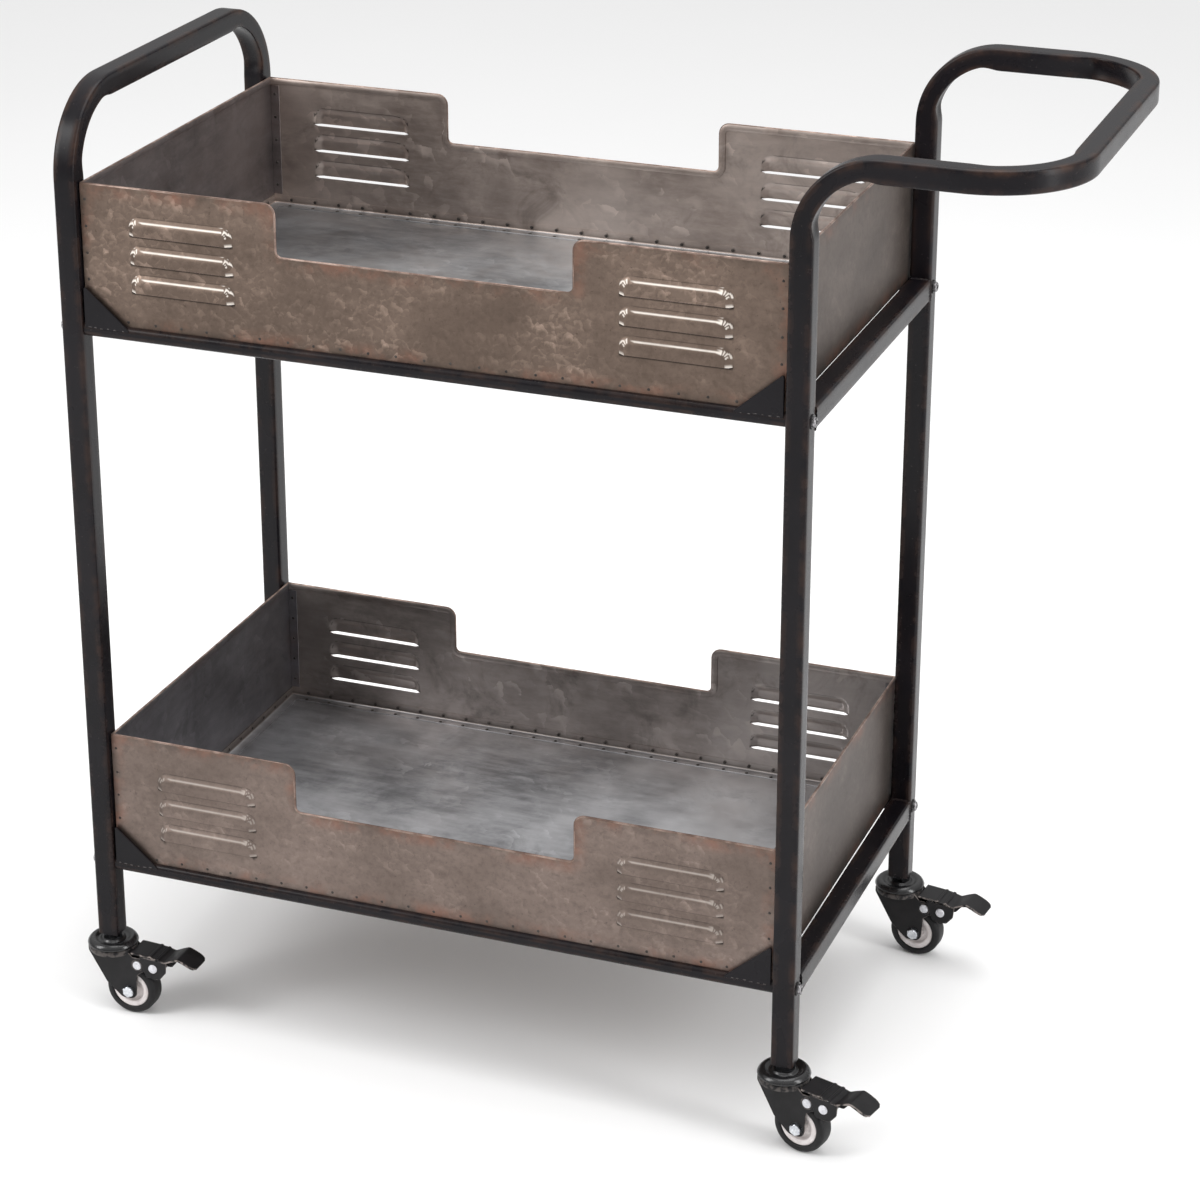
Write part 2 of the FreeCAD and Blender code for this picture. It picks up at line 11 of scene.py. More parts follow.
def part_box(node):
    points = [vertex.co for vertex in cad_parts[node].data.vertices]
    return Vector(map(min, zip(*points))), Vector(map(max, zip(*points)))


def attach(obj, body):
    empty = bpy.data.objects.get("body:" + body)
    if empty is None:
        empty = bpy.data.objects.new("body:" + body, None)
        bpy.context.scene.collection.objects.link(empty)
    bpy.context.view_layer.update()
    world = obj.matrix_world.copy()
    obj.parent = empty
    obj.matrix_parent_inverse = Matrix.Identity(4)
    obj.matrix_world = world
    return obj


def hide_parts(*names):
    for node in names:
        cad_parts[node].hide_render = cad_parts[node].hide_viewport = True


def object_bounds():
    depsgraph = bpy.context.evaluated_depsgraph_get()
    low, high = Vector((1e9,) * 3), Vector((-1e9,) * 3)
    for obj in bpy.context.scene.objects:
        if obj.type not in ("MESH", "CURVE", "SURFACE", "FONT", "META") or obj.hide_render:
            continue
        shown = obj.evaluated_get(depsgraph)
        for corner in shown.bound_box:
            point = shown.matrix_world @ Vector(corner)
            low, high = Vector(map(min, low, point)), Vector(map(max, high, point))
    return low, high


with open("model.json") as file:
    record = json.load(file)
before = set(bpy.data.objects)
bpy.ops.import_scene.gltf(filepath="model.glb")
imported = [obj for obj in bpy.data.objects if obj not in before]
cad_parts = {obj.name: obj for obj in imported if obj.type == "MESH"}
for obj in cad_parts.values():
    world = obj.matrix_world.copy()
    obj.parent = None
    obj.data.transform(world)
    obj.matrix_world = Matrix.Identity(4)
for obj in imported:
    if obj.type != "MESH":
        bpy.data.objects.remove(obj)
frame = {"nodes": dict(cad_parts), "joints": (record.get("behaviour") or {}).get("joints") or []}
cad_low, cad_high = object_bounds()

# Shapes are drawn in millimetres from the outer corner of the front arch leg, on the floor:
# X towards the handle, Y towards the back, Z up. to_row() puts a point in the row's frame.
MM = 0.001
random.seed(7)
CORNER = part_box("left_arch_tube")[0].copy()
CORNER.z = 0.0


def to_row(point):
    return CORNER + Vector(point) * MM


def box_mm(node):
    low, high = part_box(node)
    return (low - CORNER) / MM, (high - CORNER) / MM


# ---- places and sizes read from the CAD ----
ARCH = box_mm("left_arch_tube")
HANDLE = box_mm("right_handle_tube")
SIDE_RAIL = box_mm("upper_right_side_rail")
TUBE = SIDE_RAIL[1].x - SIDE_RAIL[0].x
HALF = TUBE / 2
LENGTH = SIDE_RAIL[1].x
DEPTH = ARCH[1].y
LEG_BOTTOM = ARCH[0].z
LEGS = {
    "front_left": (HALF, HALF),
    "front_right": (LENGTH - HALF, HALF),
    "back_left": (HALF, DEPTH - HALF),
    "back_right": (LENGTH - HALF, DEPTH - HALF),
}
JOINTS = {joint["name"]: joint for joint in frame["joints"]}

LEVELS = ("lower", "upper")

# ---- sizes repeated from the CAD source, in millimetres ----
TUBE_WALL = 1.5
TUBE_CORNER = 2.5
RAIL_CORNER = 4.0
ARCH_BEND = 68.0
HANDLE_BEND = 63.0
HANDLE_CORNER_BEND = 78.0
SHEET = 1.0
HEM = 6.0
LAP = 9.0
NOTCH_WIDTH = 266.0
NOTCH_DEPTH = 46.0
NOTCH_TOP_RADIUS = 10.0
NOTCH_FLOOR_RADIUS = 5.0
LOUVRE_LENGTH = 98.0
LOUVRE_HEIGHT = 16.0
LOUVRE_REACH = 4.0
LOUVRE_PITCH = 25.5
LOUVRE_END_INSET = 45.0
TOP_SLIT = {"lower": 78.0, "upper": 83.5}
BRACKET_LENGTH = 42.0
BRACKET_HEIGHT = 34.0
BRACKET_GAP = 2.0
CAP_RADIUS = 23.75
CAP_BOTTOM = 69.0
CAP_TOP = 74.5
STEM_RADIUS = 5.0
TRAIL = 20.0
WHEEL_RADIUS = 25.0
WHEEL_HALF_WIDTH = 9.0
TYRE_INNER = 18.0
FORK_INNER = 10.0
FORK_PLATE = 1.6
FORK_TOP = 68.0
FORK_SHOULDER = 22.8
PEDAL_HALF_WIDTH = 13.2
LEAF_RIVET = (30.0, 54.0)
PEDAL_PIVOT = (47.0, 54.5)

# ---- finer shape that only the visual model has, in millimetres ----
BEND_SQUASH = 5.2           # how far the tube's inner wall is pushed in by bending
WAVE = 0.35                 # unevenness of the hand-folded sheet
WELD_PITCH = 25.0
OPEN_END_DEPTH = 9.0        # how far one can see into an open tube end
SHEET_SPACING = 14.0        # distance between points along a sheet's outline
SHEET_STEP = 9.0            # distance between points inside a sheet
FLOOR_CELLS = (62, 38)
TACKS = 6                   # tack welds under each bracket
TACK_PITCH = 6.2
TREAD_CELLS = 14            # across a pedal's tread plate
SHOULDER = 6.5              # width of a louvre's curved shoulder
SLIT_GAP = 1.5              # how far the sheet is bent open below each hood


# ---- camera: millimetres, radians, and shares of the frame ----
CAMERA_PLACE = (1405.9, -2425.1, 1632.4)
CAMERA_YAW, CAMERA_PITCH = 0.3619, 0.3785
CAMERA_LENS = 101.5
CAMERA_SHIFT = (0.009, -0.1)


# ---- materials ----

class Graph:
    """Builds one Principled material out of nodes, in layers of colour over a base colour."""

    def __init__(self, name, base):
        self.color = base
        self.material = bpy.data.materials.new(name)
        self.material.use_nodes = True
        self.tree = self.material.node_tree
        self.shader = self.tree.nodes["Principled BSDF"]
        self.coords = self.tree.nodes.new("ShaderNodeTexCoord").outputs["Object"]

    def put(self, value, socket):
        if isinstance(value, bpy.types.NodeSocket):
            self.tree.links.new(value, socket)
        elif isinstance(value, tuple) and len(value) == 3 and socket.type == "RGBA":
            socket.default_value = (*value, 1.0)
        else:
            socket.default_value = value

    def node(self, kind, inputs, output, **settings):
        """Adds a node, fills its inputs (by name, or in order) and returns one of its outputs."""
        node = self.tree.nodes.new("ShaderNode" + kind)
        for key, value in settings.items():
            setattr(node, key, value)
        for key, value in inputs.items() if isinstance(inputs, dict) else enumerate(inputs):
            self.put(value, node.inputs[key])
        return node.outputs[output]

    def noise(self, scale, detail=4.0, roughness=0.55, stretch=(1, 1, 1), distortion=0.0):
        place = self.node("Mapping", {"Vector": self.coords, "Scale": stretch}, "Vector")
        return self.node("TexNoise", {"Vector": place, "Scale": scale, "Detail": detail,
                                      "Roughness": roughness, "Distortion": distortion}, "Fac")

    def flakes(self, scale, warp, towards):
        """Voronoi flakes, each bright on one side only: (crescent, random grey per flake)."""
        bend = self.node("TexNoise", {"Vector": self.coords, "Scale": scale * 0.9, "Detail": 4.0}, "Color")
        place = self.mix(warp, self.coords, bend, "LINEAR_LIGHT")
        middle = self.node("TexVoronoi", {"Vector": place, "Scale": scale}, "Position")
        flake = middle.node.outputs
        away = self.node("VectorMath", (place, middle), "Vector", operation="SUBTRACT")
        along = self.node("VectorMath", (away, tuple(scale * part for part in towards)), "Value",
                          operation="DOT_PRODUCT")
        crescent = self.times(self.ramp(along, 0.0, 0.42), self.ramp(flake["Distance"], 0.12, 0.5))
        return crescent, self.node("SeparateColor", {"Color": flake["Color"]}, "Red")

    def axis(self, name):
        return self.node("SeparateXYZ", {"Vector": self.coords}, name)

    def attribute(self, name):
        return self.node("Attribute", {}, "Fac", attribute_name=name)

    def times(self, a, b):
        return self.node("Math", (a, b), "Value", operation="MULTIPLY")

    def plus(self, a, b):
        return self.node("Math", (a, b), "Value", operation="ADD")

    def ramp(self, value, low, high, out_low=0.0, out_high=1.0):
        return self.node("MapRange", (value, low, high, out_low, out_high), "Result",
                         interpolation_type="SMOOTHSTEP")

    def mix(self, factor, first, second, blend="MIX"):
        return self.node("MixRGB", (factor, first, second), "Color", blend_type=blend)

    def layer(self, mask, color):
        self.color = self.mix(mask, self.color, color)

    def bump(self, height, distance, strength):
        sockets = {"Strength": strength, "Distance": distance, "Height": height}
        self.put(self.node("Bump", sockets, "Normal"), self.shader.inputs["Normal"])

    def done(self, **values):
        values["Base Color"] = self.color
        for key, value in values.items():
            key = "Specular IOR Level" if key == "specular" else key
            self.put(value, self.shader.inputs[key[0].upper() + key[1:]])
        return self.material


def shade(factor, color, added=0.0):
    """A colour made lighter or darker."""
    return tuple(min(1.0, factor * part + added) for part in color)


def frame_paint():
    """Satin near-black paint with a warm brown rubbed through along the tube's edges."""
    g = Graph("frame_paint", (0.0045, 0.0038, 0.005))
    cloudy = g.noise(9.0, 5.0, 0.6)
    rub_and_sheen = g.times(g.attribute("wear"), g.ramp(g.noise(38.0, 4.0, 0.65), 0.38, 0.72))
    g.layer(g.ramp(cloudy, 0.3, 0.75), (0.009, 0.0076, 0.0096))
    g.layer(g.times(rub_and_sheen, 0.5), (0.062, 0.032, 0.021))
    g.layer(g.times(g.ramp(g.noise(420.0, 1.0, 0.4), 0.74, 0.78), 0.25), (0.11, 0.095, 0.09))
    g.bump(g.noise(600.0, 2.0, 0.5), 0.00003, 0.5)
    rough = g.plus(g.ramp(cloudy, 0.25, 0.8, 0.22, 0.31), g.times(rub_and_sheen, 0.12))
    return g.done(roughness=rough, specular=0.17)


def outer_sheet(name, spangle, dark, light, rub_and_sheen):
    """Aged galvanised sheet, outside: brown-grey with a frosty spangle and copper tints at edges, with
    painted highlights and painted shadows at the louvres.
    """
    g = Graph(name, dark)
    edge, painted_light_marks = g.attribute("edge"), g.attribute("wear")
    streak = g.noise(22.0, 5.0, 0.65, (0.5, 0.5, 1.6))
    g.layer(g.ramp(g.noise(7.0, 5.0, 0.6), 0.28, 0.72), light)
    g.layer(g.ramp(streak, 0.35, 0.85, 0.0, 0.4), shade(0.62, dark))
    flake, tone = g.flakes(92.0, 0.006, (0.55, 0.45, 0.7))
    small, small_tone = g.flakes(170.0, 0.004, (-0.4, 0.5, 0.8))
    frost = g.times(flake, g.ramp(tone, 0.2, 0.9, 0.15, 1.0))
    frost = g.plus(frost, g.times(small, g.times(small_tone, 0.6)))
    patchy = g.ramp(g.noise(14.0, 3.0, 0.55), 0.36, 0.66, 0.12, 1.0)
    frost = g.times(g.times(frost, patchy), spangle)
    g.layer(frost, shade(2.2, light))
    g.layer(g.ramp(g.noise(150.0, 5.0, 0.75), 0.42, 0.72, 0.0, 0.34), shade(0.5, dark))
    copper = g.times(g.ramp(edge, 16.0, 1.0), g.ramp(g.noise(30.0, 4.0, 0.65), 0.42, 0.7))
    g.layer(g.times(copper, 0.62), (0.27, 0.125, 0.085))
    grime = g.times(g.ramp(edge, 9.0, 0.5), g.ramp(g.noise(55.0, 3.0, 0.6), 0.3, 0.65))
    g.layer(g.times(grime, 0.35), (0.05, 0.04, 0.034))
    g.layer(g.times(g.ramp(g.noise(330.0, 2.0, 0.5), 0.70, 0.76), 0.4), shade(0.35, dark))
    # painted highlight along the louvre shoulders, made less metallic so it stays evenly bright; the last
    # argument sets its strength
    painted_shoulder_highlight = g.times(g.ramp(painted_light_marks, 0.0, 1.0), g.ramp(g.noise(24.0, 4.0, 0.6), 0.25, 0.55, 0.6, 1.0))
    g.layer(g.times(painted_shoulder_highlight, rub_and_sheen), (0.86, 0.8, 0.73))
    # painted shadow under the louvre lips and painted shade along their outlines
    g.layer(g.ramp(painted_light_marks, 0.0, -1.0, 0.0, 0.9), (0.012, 0.01, 0.009))
    rough = g.plus(g.ramp(frost, 0.0, 0.6, 0.46, 0.35), g.times(g.noise(260.0, 4.0, 0.7), 0.08))
    g.bump(g.plus(g.times(streak, 0.6), g.times(frost, 0.8)), 0.0005, 0.45)
    return g.done(metallic=g.plus(0.85, g.times(painted_shoulder_highlight, -0.6 * rub_and_sheen)),
                  roughness=g.plus(rough, g.times(painted_shoulder_highlight, 0.14)))


def inner_sheet(name, dark, light, stretch, cloud=0.5, flaky=0.3, painted_reflection=0.0):
    """Galvanised sheet, inside: cold grey, brushed, with darker smudges, light patches of painted reflection
    that grow towards +X, and painted highlights and shade at louvre slits and folds.
    """
    g = Graph(name, dark)
    painted_light_marks = g.attribute("wear")
    brushed = g.noise(75.0, 5.0, 0.7, stretch)
    cross = g.noise(130.0, 4.0, 0.7, (stretch[1], stretch[0], stretch[2]))
    smudge = g.noise(17.0, 5.0, 0.7, distortion=0.6)
    g.layer(g.ramp(g.noise(6.0, 6.0, 0.6), 0.3, 0.72), light)
    g.layer(g.ramp(brushed, 0.3, 0.8, 0.0, 0.4), shade(1.35, light))
    # painted reflection: light silvery patches that grow towards +X, as strong as the last argument says
    bright_end = g.ramp(g.axis("X"), -0.2, 0.28)
    rub_and_sheen = g.plus(bright_end, g.ramp(g.noise(5.0, 4.0, 0.6), 0.35, 0.7, -0.45, 0.45))
    g.layer(g.times(g.ramp(rub_and_sheen, 0.1, 0.9), painted_reflection), shade(0.75, light, 0.25))
    g.layer(g.ramp(smudge, 0.5, 0.78, 0.0, cloud), shade(0.42, dark))
    flake, tone = g.flakes(60.0, 0.012, (0.5, 0.5, 0.7))
    frost = g.times(flake, g.times(g.ramp(tone, 0.2, 1.0), g.ramp(g.noise(10.0, 3.0), 0.35, 0.65)))
    g.layer(g.times(frost, flaky), shade(1.55, light))
    warm = g.times(g.ramp(g.attribute("edge"), 14.0, 1.0), g.ramp(g.noise(26.0, 4.0, 0.6), 0.45, 0.7))
    g.layer(g.times(warm, 0.35), (0.16, 0.095, 0.07))
    # painted highlight and painted shade marked at the louvre slits and at the floor's folds
    g.layer(g.ramp(painted_light_marks, 0.0, 1.0, 0.0, 0.6), (0.66, 0.67, 0.68))
    g.layer(g.ramp(painted_light_marks, 0.0, -1.0, 0.0, 0.85), (0.014, 0.012, 0.011))
    g.bump(g.plus(g.times(brushed, 0.5), g.times(smudge, 1.2)), 0.0005, 0.4)
    rough = g.plus(g.ramp(smudge, 0.3, 0.75, 0.3, 0.46), g.times(cross, 0.08))
    return g.done(metallic=0.9, roughness=rough)


def hem_edge():
    """The folded rim: rubbed to a pale pinkish brown."""
    g = Graph("sheet_rim", (0.13, 0.085, 0.068))
    rub = g.noise(45.0, 4.0, 0.65)
    g.layer(g.ramp(rub, 0.35, 0.7), (0.42, 0.31, 0.26))
    g.bump(g.noise(300.0, 2.0), 0.0002, 0.4)
    return g.done(metallic=0.75, roughness=g.ramp(rub, 0.3, 0.8, 0.45, 0.3))


def mottled(name, dark, light, scale, rough_low, rough_high, bump=0.0001, edge_wear=0.0, **extra):
    """A plain finish with cloudy tone, fine specks and a faint surface texture."""
    g = Graph(name, dark)
    cloud = g.noise(scale, 5.0, 0.6)
    fine = g.noise(scale * 14, 3.0, 0.6)
    g.layer(g.ramp(cloud, 0.3, 0.75), light)
    g.layer(g.ramp(fine, 0.66, 0.8, 0.0, 0.3), shade(1.8, light, 0.01))
    worn = g.times(g.attribute("wear"), g.ramp(g.noise(scale * 3, 3.0, 0.6), 0.4, 0.6))
    g.layer(g.times(worn, edge_wear), (0.3, 0.26, 0.24))
    g.bump(fine, bump, 0.5)
    rough = g.plus(g.ramp(cloud, 0.25, 0.8, rough_low, rough_high), g.times(fine, 0.05))
    return g.done(roughness=rough, **extra)


PAINT = frame_paint()
# the last number of each outside sheet is how strong its painted highlight on the louvre shoulders is
OUTER = {
    "upper": outer_sheet("tray_outside_upper", 0.42, (0.117, 0.085, 0.067), (0.202, 0.149, 0.119), 0.9),
    "lower": outer_sheet("tray_outside_lower", 0.2, (0.148, 0.114, 0.097), (0.232, 0.181, 0.158), 0.3),
}
OUTER_END = {
    "upper": outer_sheet("tray_end_outside_upper", 0.1, (0.088, 0.071, 0.062), (0.152, 0.124, 0.108), 0.3),
    "lower": outer_sheet("tray_end_outside_lower", 0.08, (0.088, 0.072, 0.064), (0.152, 0.126, 0.112), 0.3),
}
BRUSHED_UP = (0.35, 0.35, 1.2)
BRUSHED_ALONG = (0.25, 1.0, 1.0)
INNER = {
    "upper": inner_sheet("tray_inside_upper", (0.12, 0.104, 0.102), (0.285, 0.25, 0.246), BRUSHED_UP),
    "lower": inner_sheet("tray_inside_lower", (0.108, 0.102, 0.108), (0.245, 0.235, 0.248), BRUSHED_UP),
}
# the last number in each of these is how strong the painted reflection towards +X is
BACK_INNER = {
    "upper": inner_sheet("tray_back_upper", (0.24, 0.192, 0.168), (0.52, 0.44, 0.395), BRUSHED_UP,
                         0.6, 0.7, 0.12),
    "lower": inner_sheet("tray_back_lower", (0.14, 0.12, 0.11), (0.35, 0.308, 0.287), BRUSHED_UP,
                         0.6, 0.7, 0.3),
}
FLOOR = {
    "upper": inner_sheet("tray_floor_upper", (0.15, 0.153, 0.16), (0.36, 0.365, 0.375), BRUSHED_ALONG,
                         0.3, 0.3, 0.75),
    "lower": inner_sheet("tray_floor_lower", (0.165, 0.165, 0.172), (0.54, 0.54, 0.56), BRUSHED_ALONG,
                         0.4, 0.3, 0.9),
}
RIM = hem_edge()
SPOT = mottled("spot_weld", (0.035, 0.03, 0.028), (0.085, 0.075, 0.068), 160.0, 0.35, 0.55, metallic=0.8)
SEAM_WELD = mottled("seam_weld", (0.035, 0.031, 0.031), (0.17, 0.155, 0.15), 420.0, 0.3, 0.5, metallic=0.7)
BLACK_GLOSS = mottled("caster_black", (0.0045, 0.0045, 0.005), (0.01, 0.0095, 0.0105), 60.0, 0.16, 0.28,
                      0.00006, specular=0.55)
BLACK_FORK = mottled("fork_black", (0.006, 0.0055, 0.0062), (0.0125, 0.0115, 0.0125), 70.0, 0.34, 0.46,
                     0.00012, 0.75, specular=0.24)
ZINC = mottled("zinc_plate", (0.5, 0.52, 0.56), (0.82, 0.84, 0.87), 240.0, 0.2, 0.36, metallic=1.0)
RIVET_FACE = mottled("rivet_zinc", (0.55, 0.55, 0.58), (0.78, 0.78, 0.81), 300.0, 0.42, 0.58, metallic=0.55)
DARK_ZINC = mottled("dark_zinc", (0.05, 0.05, 0.054), (0.15, 0.15, 0.16), 260.0, 0.14, 0.26, metallic=1.0)
BLACKENED = mottled("blackened_steel", (0.012, 0.011, 0.012), (0.03, 0.027, 0.027), 200.0, 0.28, 0.42,
                    specular=0.6, metallic=0.3)
BOLT_HEAD = mottled("bolt_steel", (0.16, 0.155, 0.16), (0.4, 0.39, 0.4), 300.0, 0.22, 0.36, metallic=1.0)
PLUG = mottled("black_plastic", (0.012, 0.012, 0.012), (0.024, 0.024, 0.024), 150.0, 0.5, 0.65)
RUBBER = mottled("tyre_rubber", (0.009, 0.0085, 0.0092), (0.016, 0.0155, 0.0165), 110.0, 0.42, 0.58, 0.0001,
                 specular=0.25)
HUB = mottled("hub_plastic", (0.62, 0.57, 0.56), (0.8, 0.75, 0.74), 90.0, 0.25, 0.38, 0.00005, specular=0.5)


# ---- mesh helpers ----

class Shape:
    """Collects surfaces into one piece."""

    def __init__(self):
        self.verts = []
        self.faces = []
        self.slots = []
        self.wear = []
        self.edge = []

    def add(self, verts, faces, slot=0, wear=None, edge=None, move=None, flip=False):
        start = len(self.verts)
        self.verts += [move(v) if move else v for v in verts]
        for index, face in enumerate(faces):
            face = [start + i for i in face]
            self.faces.append(face[::-1] if flip else face)
            self.slots.append(slot[index] if isinstance(slot, list) else slot)
        self.wear += wear if wear else [0.0] * len(verts)
        self.edge += edge if edge else [30.0] * len(verts)

    def finish(self, name, body, materials, record_slot, replaces=(), sharp=38.0):
        mesh = bpy.data.meshes.new(name)
        mesh.from_pydata([to_row(v) for v in self.verts], [], self.faces)
        for material in materials:
            mesh.materials.append(material)
        mesh.polygons.foreach_set("material_index", self.slots)
        mesh.polygons.foreach_set("use_smooth", [True] * len(mesh.polygons))
        # this attribute holds real edge wear on tubes and plates, and painted highlights and painted shade
        # on the tray sheets
        for key, values in (("wear", self.wear), ("edge", self.edge)):
            mesh.attributes.new(key, "FLOAT", "POINT").data.foreach_set("value", values)
        mesh.update()
        mesh.set_sharp_from_angle(angle=math.radians(sharp))
        obj = bpy.data.objects.new(name, mesh)
        bpy.context.scene.collection.objects.link(obj)
        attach(obj, body)
        if replaces:
            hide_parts(*replaces)
        return obj


def arc_points(start, corner, end, radius, steps):
    """Points of the arc that rounds a corner between two directions, in 2D or 3D."""
    to_start = (start - corner).normalized()
    to_end = (end - corner).normalized()
    half_turn = to_start.angle(to_end) / 2
    reach = radius / math.tan(half_turn)
    centre = corner + (to_start + to_end).normalized() * (radius / math.sin(half_turn))
    first = corner + to_start * reach - centre
    last = corner + to_end * reach - centre
    sweep = first.angle(last)
    points = []
    for step in range(steps + 1):
        share = step / steps
        a = math.sin((1 - share) * sweep) / math.sin(sweep)
        b = math.sin(share * sweep) / math.sin(sweep)
        points.append(centre + first * a + last * b)
    return points, centre


def corner_points(before, corner, after, steps):
    """The arc that rounds an (x, z, radius) corner, or the corner itself if it is sharp."""
    place = Vector(corner[:2])
    if corner[2] <= 0:
        return [place]
    return arc_points(Vector(before[:2]), place, Vector(after[:2]), corner[2], steps)[0]


def cut(points, spacing):
    """A line's points with its long parts cut at a spacing, all but the last point."""
    found = []
    for point, following in zip(points, points[1:]):
        pieces = max(1, round((following - point).length / spacing))
        found += [point.lerp(following, k / pieces) for k in range(pieces)]
    return found


def rounded_outline(corners, steps=6, spacing=None):
    """Closed 2D outline through (x, z, radius) corners; long sides can be cut at a spacing."""
    raw = []
    for index, corner in enumerate(corners):
        raw += corner_points(corners[index - 1], corner, corners[(index + 1) % len(corners)], steps)
    return cut(raw + raw[:1], spacing) if spacing else raw


def open_path(corners, steps=6, spacing=SHEET_SPACING):
    """An open line through (x, z, radius) corners, its long sides cut at a spacing."""
    raw = [Vector(corners[0][:2])]
    for before, corner, after in zip(corners, corners[1:], corners[2:]):
        raw += corner_points(before, corner, after, steps)
    raw.append(Vector(corners[-1][:2]))
    return cut(raw, spacing) + [raw[-1]]


def grid(rows, columns, loop_rows=False, loop_columns=False, turned=False):
    """Quads over rows of vertices that follow each other; turned ones face the other way."""
    faces = []
    for row in range(rows if loop_rows else rows - 1):
        a, b = row * columns, (row + 1) % rows * columns
        for i in range(columns if loop_columns else columns - 1):
            j = (i + 1) % columns
            faces.append([a + i, b + i, b + j, a + j] if turned else [a + i, a + j, b + j, b + i])
    return faces


def inset_outline(points, distance):
    """A closed outline (counter-clockwise) moved inwards."""
    moved = []
    count = len(points)
    for i, point in enumerate(points):
        along = (points[(i + 1) % count] - points[i - 1]).normalized()
        moved.append(point + Vector((-along.y, along.x)) * distance)
    return moved


def plate(shape, outline, y_low, y_high, bevel=0.35, slot=0, move=None, wear=1.0, flip=False):
    """A flat plate with softened rims; the outline is (x, z), counter-clockwise seen from -Y."""
    inner = inset_outline(outline, bevel)
    rings = [(inner, y_low), (outline, y_low + bevel), (outline, y_high - bevel), (inner, y_high)]
    size = len(outline)
    verts = [(p.x, y, p.y) for ring, y in rings for p in ring]
    faces = [[b, a, d, c] for a, b, c, d in grid(4, size, loop_columns=True)]
    faces += [list(range(size)), list(range(3 * size, 4 * size))[::-1]]
    worn = [0.0] * size + [wear] * (2 * size) + [0.0] * size
    shape.add(verts, faces, slot, wear=worn, edge=[1.0] * len(verts), move=move, flip=flip)


def lathe(shape, profile, centre, axis, steps, move=None):
    """Turns a closed profile of (radius, height) about the Y or Z axis through the centre."""
    x, y, z = centre
    verts = []
    for step in range(steps):
        turn = 2 * math.pi * step / steps
        c, s = math.cos(turn), math.sin(turn)
        if axis == "Z":
            verts += [(x + radius * c, y + radius * s, z + height) for radius, height in profile]
        else:
            verts += [(x + radius * c, y + height, z - radius * s) for radius, height in profile]
    faces = grid(steps, len(profile), loop_rows=True, turned=True)
    shape.add(verts, faces, wear=[0.3] * len(verts), move=move)


def hex_rod(shape, flats, centre, way, length, chamfer, move):
    """A hexagonal head with chamfered corners, standing along Y from its seat, either way."""
    size = 36
    rings = ((0.0, 1.0), (length - chamfer, 1.0), (length, 0.9), (length, 0.62), (length - 0.4, 0.5))
    verts = []
    for height, share in rings:
        for k in range(size):
            turn = 2 * math.pi * k / size
            nearest = round(turn / (math.pi / 3)) * math.pi / 3
            hexed = flats / 2 / math.cos(turn - nearest)
            radius = min(hexed, flats / 2 * 1.12) * share if share > 0.95 else flats / 2 * share
            verts.append((centre[0] - way * (radius * math.cos(turn)), centre[1] + way * height,
                          centre[2] + radius * math.sin(turn)))
    faces = grid(len(rings), size, loop_columns=True)
    faces.append(list(range(len(verts) - size, len(verts))))
    shape.add(verts, faces, move=move)


def dome(shape, centre, normal, radius, height, steps=10):
    """A shallow round bump on a surface."""
    normal = Vector(normal).normalized()
    side = normal.orthogonal().normalized()
    other = normal.cross(side)
    verts = []
    for share, rise in ((1.0, 0.0), (0.82, 0.62), (0.45, 0.92)):
        for k in range(steps):
            turn = 2 * math.pi * k / steps
            wobble = 1 + 0.08 * math.sin(3 * turn + centre[0])
            offset = (side * math.cos(turn) + other * math.sin(turn)) * (radius * share * wobble)
            verts.append(tuple(Vector(centre) + offset + normal * (height * rise)))
    verts.append(tuple(Vector(centre) + normal * height))
    faces = grid(3, steps, loop_columns=True)
    faces += [[2 * steps + k, 2 * steps + (k + 1) % steps, 3 * steps] for k in range(steps)]
    shape.add(verts, faces)


# ---- tubes ----

def tube_section(half_a, half_b, corner, arc_steps=4, flat_points=3):
    """Rounded rectangle as (a, b, wear) points, counter-clockwise."""
    section = []
    signs = ((1, 1), (-1, 1), (-1, -1), (1, -1))
    for quarter, (sa, sb) in enumerate(signs):
        centre_a, centre_b = sa * (half_a - corner), sb * (half_b - corner)
        for k in range(arc_steps + 1):
            turn = math.pi / 2 * (quarter + k / arc_steps)
            section.append((centre_a + corner * math.cos(turn), centre_b + corner * math.sin(turn), 1.0))
        a0, b0, _ = section[-1]
        na, nb = signs[(quarter + 1) % 4]
        turn = math.pi / 2 * (quarter + 1)
        a1 = na * (half_a - corner) + corner * math.cos(turn)
        b1 = nb * (half_b - corner) + corner * math.sin(turn)
        for k in range(1, flat_points + 1):
            share = k / (flat_points + 1)
            section.append((a0 + (a1 - a0) * share, b0 + (b1 - b0) * share, 0.12 if k != 2 else 0.0))
    return section


def stations(points, radii, arc_steps=26, step=45.0):
    """Places along a bent path: (point, tangent, inward direction or None, how squashed)."""
    found = []

    def straight(start, end):
        direction = (end - start).normalized()
        count = max(1, round((end - start).length / step))
        for k in range(count + 1):
            found.append((start.lerp(end, k / count), direction, None, 0.0))

    last = points[0]
    for index, radius in enumerate(radii, start=1):
        arc, centre = arc_points(points[index - 1], points[index], points[index + 1], radius, arc_steps)
        straight(last, arc[0])
        before = (points[index] - points[index - 1]).normalized()
        after = (points[index + 1] - points[index]).normalized()
        turn_axis = before.cross(after).normalized()
        for k in range(1, arc_steps):
            share = k / arc_steps
            inward = (centre - arc[k]).normalized()
            tangent = inward.cross(turn_axis)
            depth = min(1.0, min(share, 1 - share) / 0.2)
            found.append((arc[k], tangent, inward, depth * depth * (3 - 2 * depth)))
        last = arc[-1]
    straight(last, points[-1])
    return found


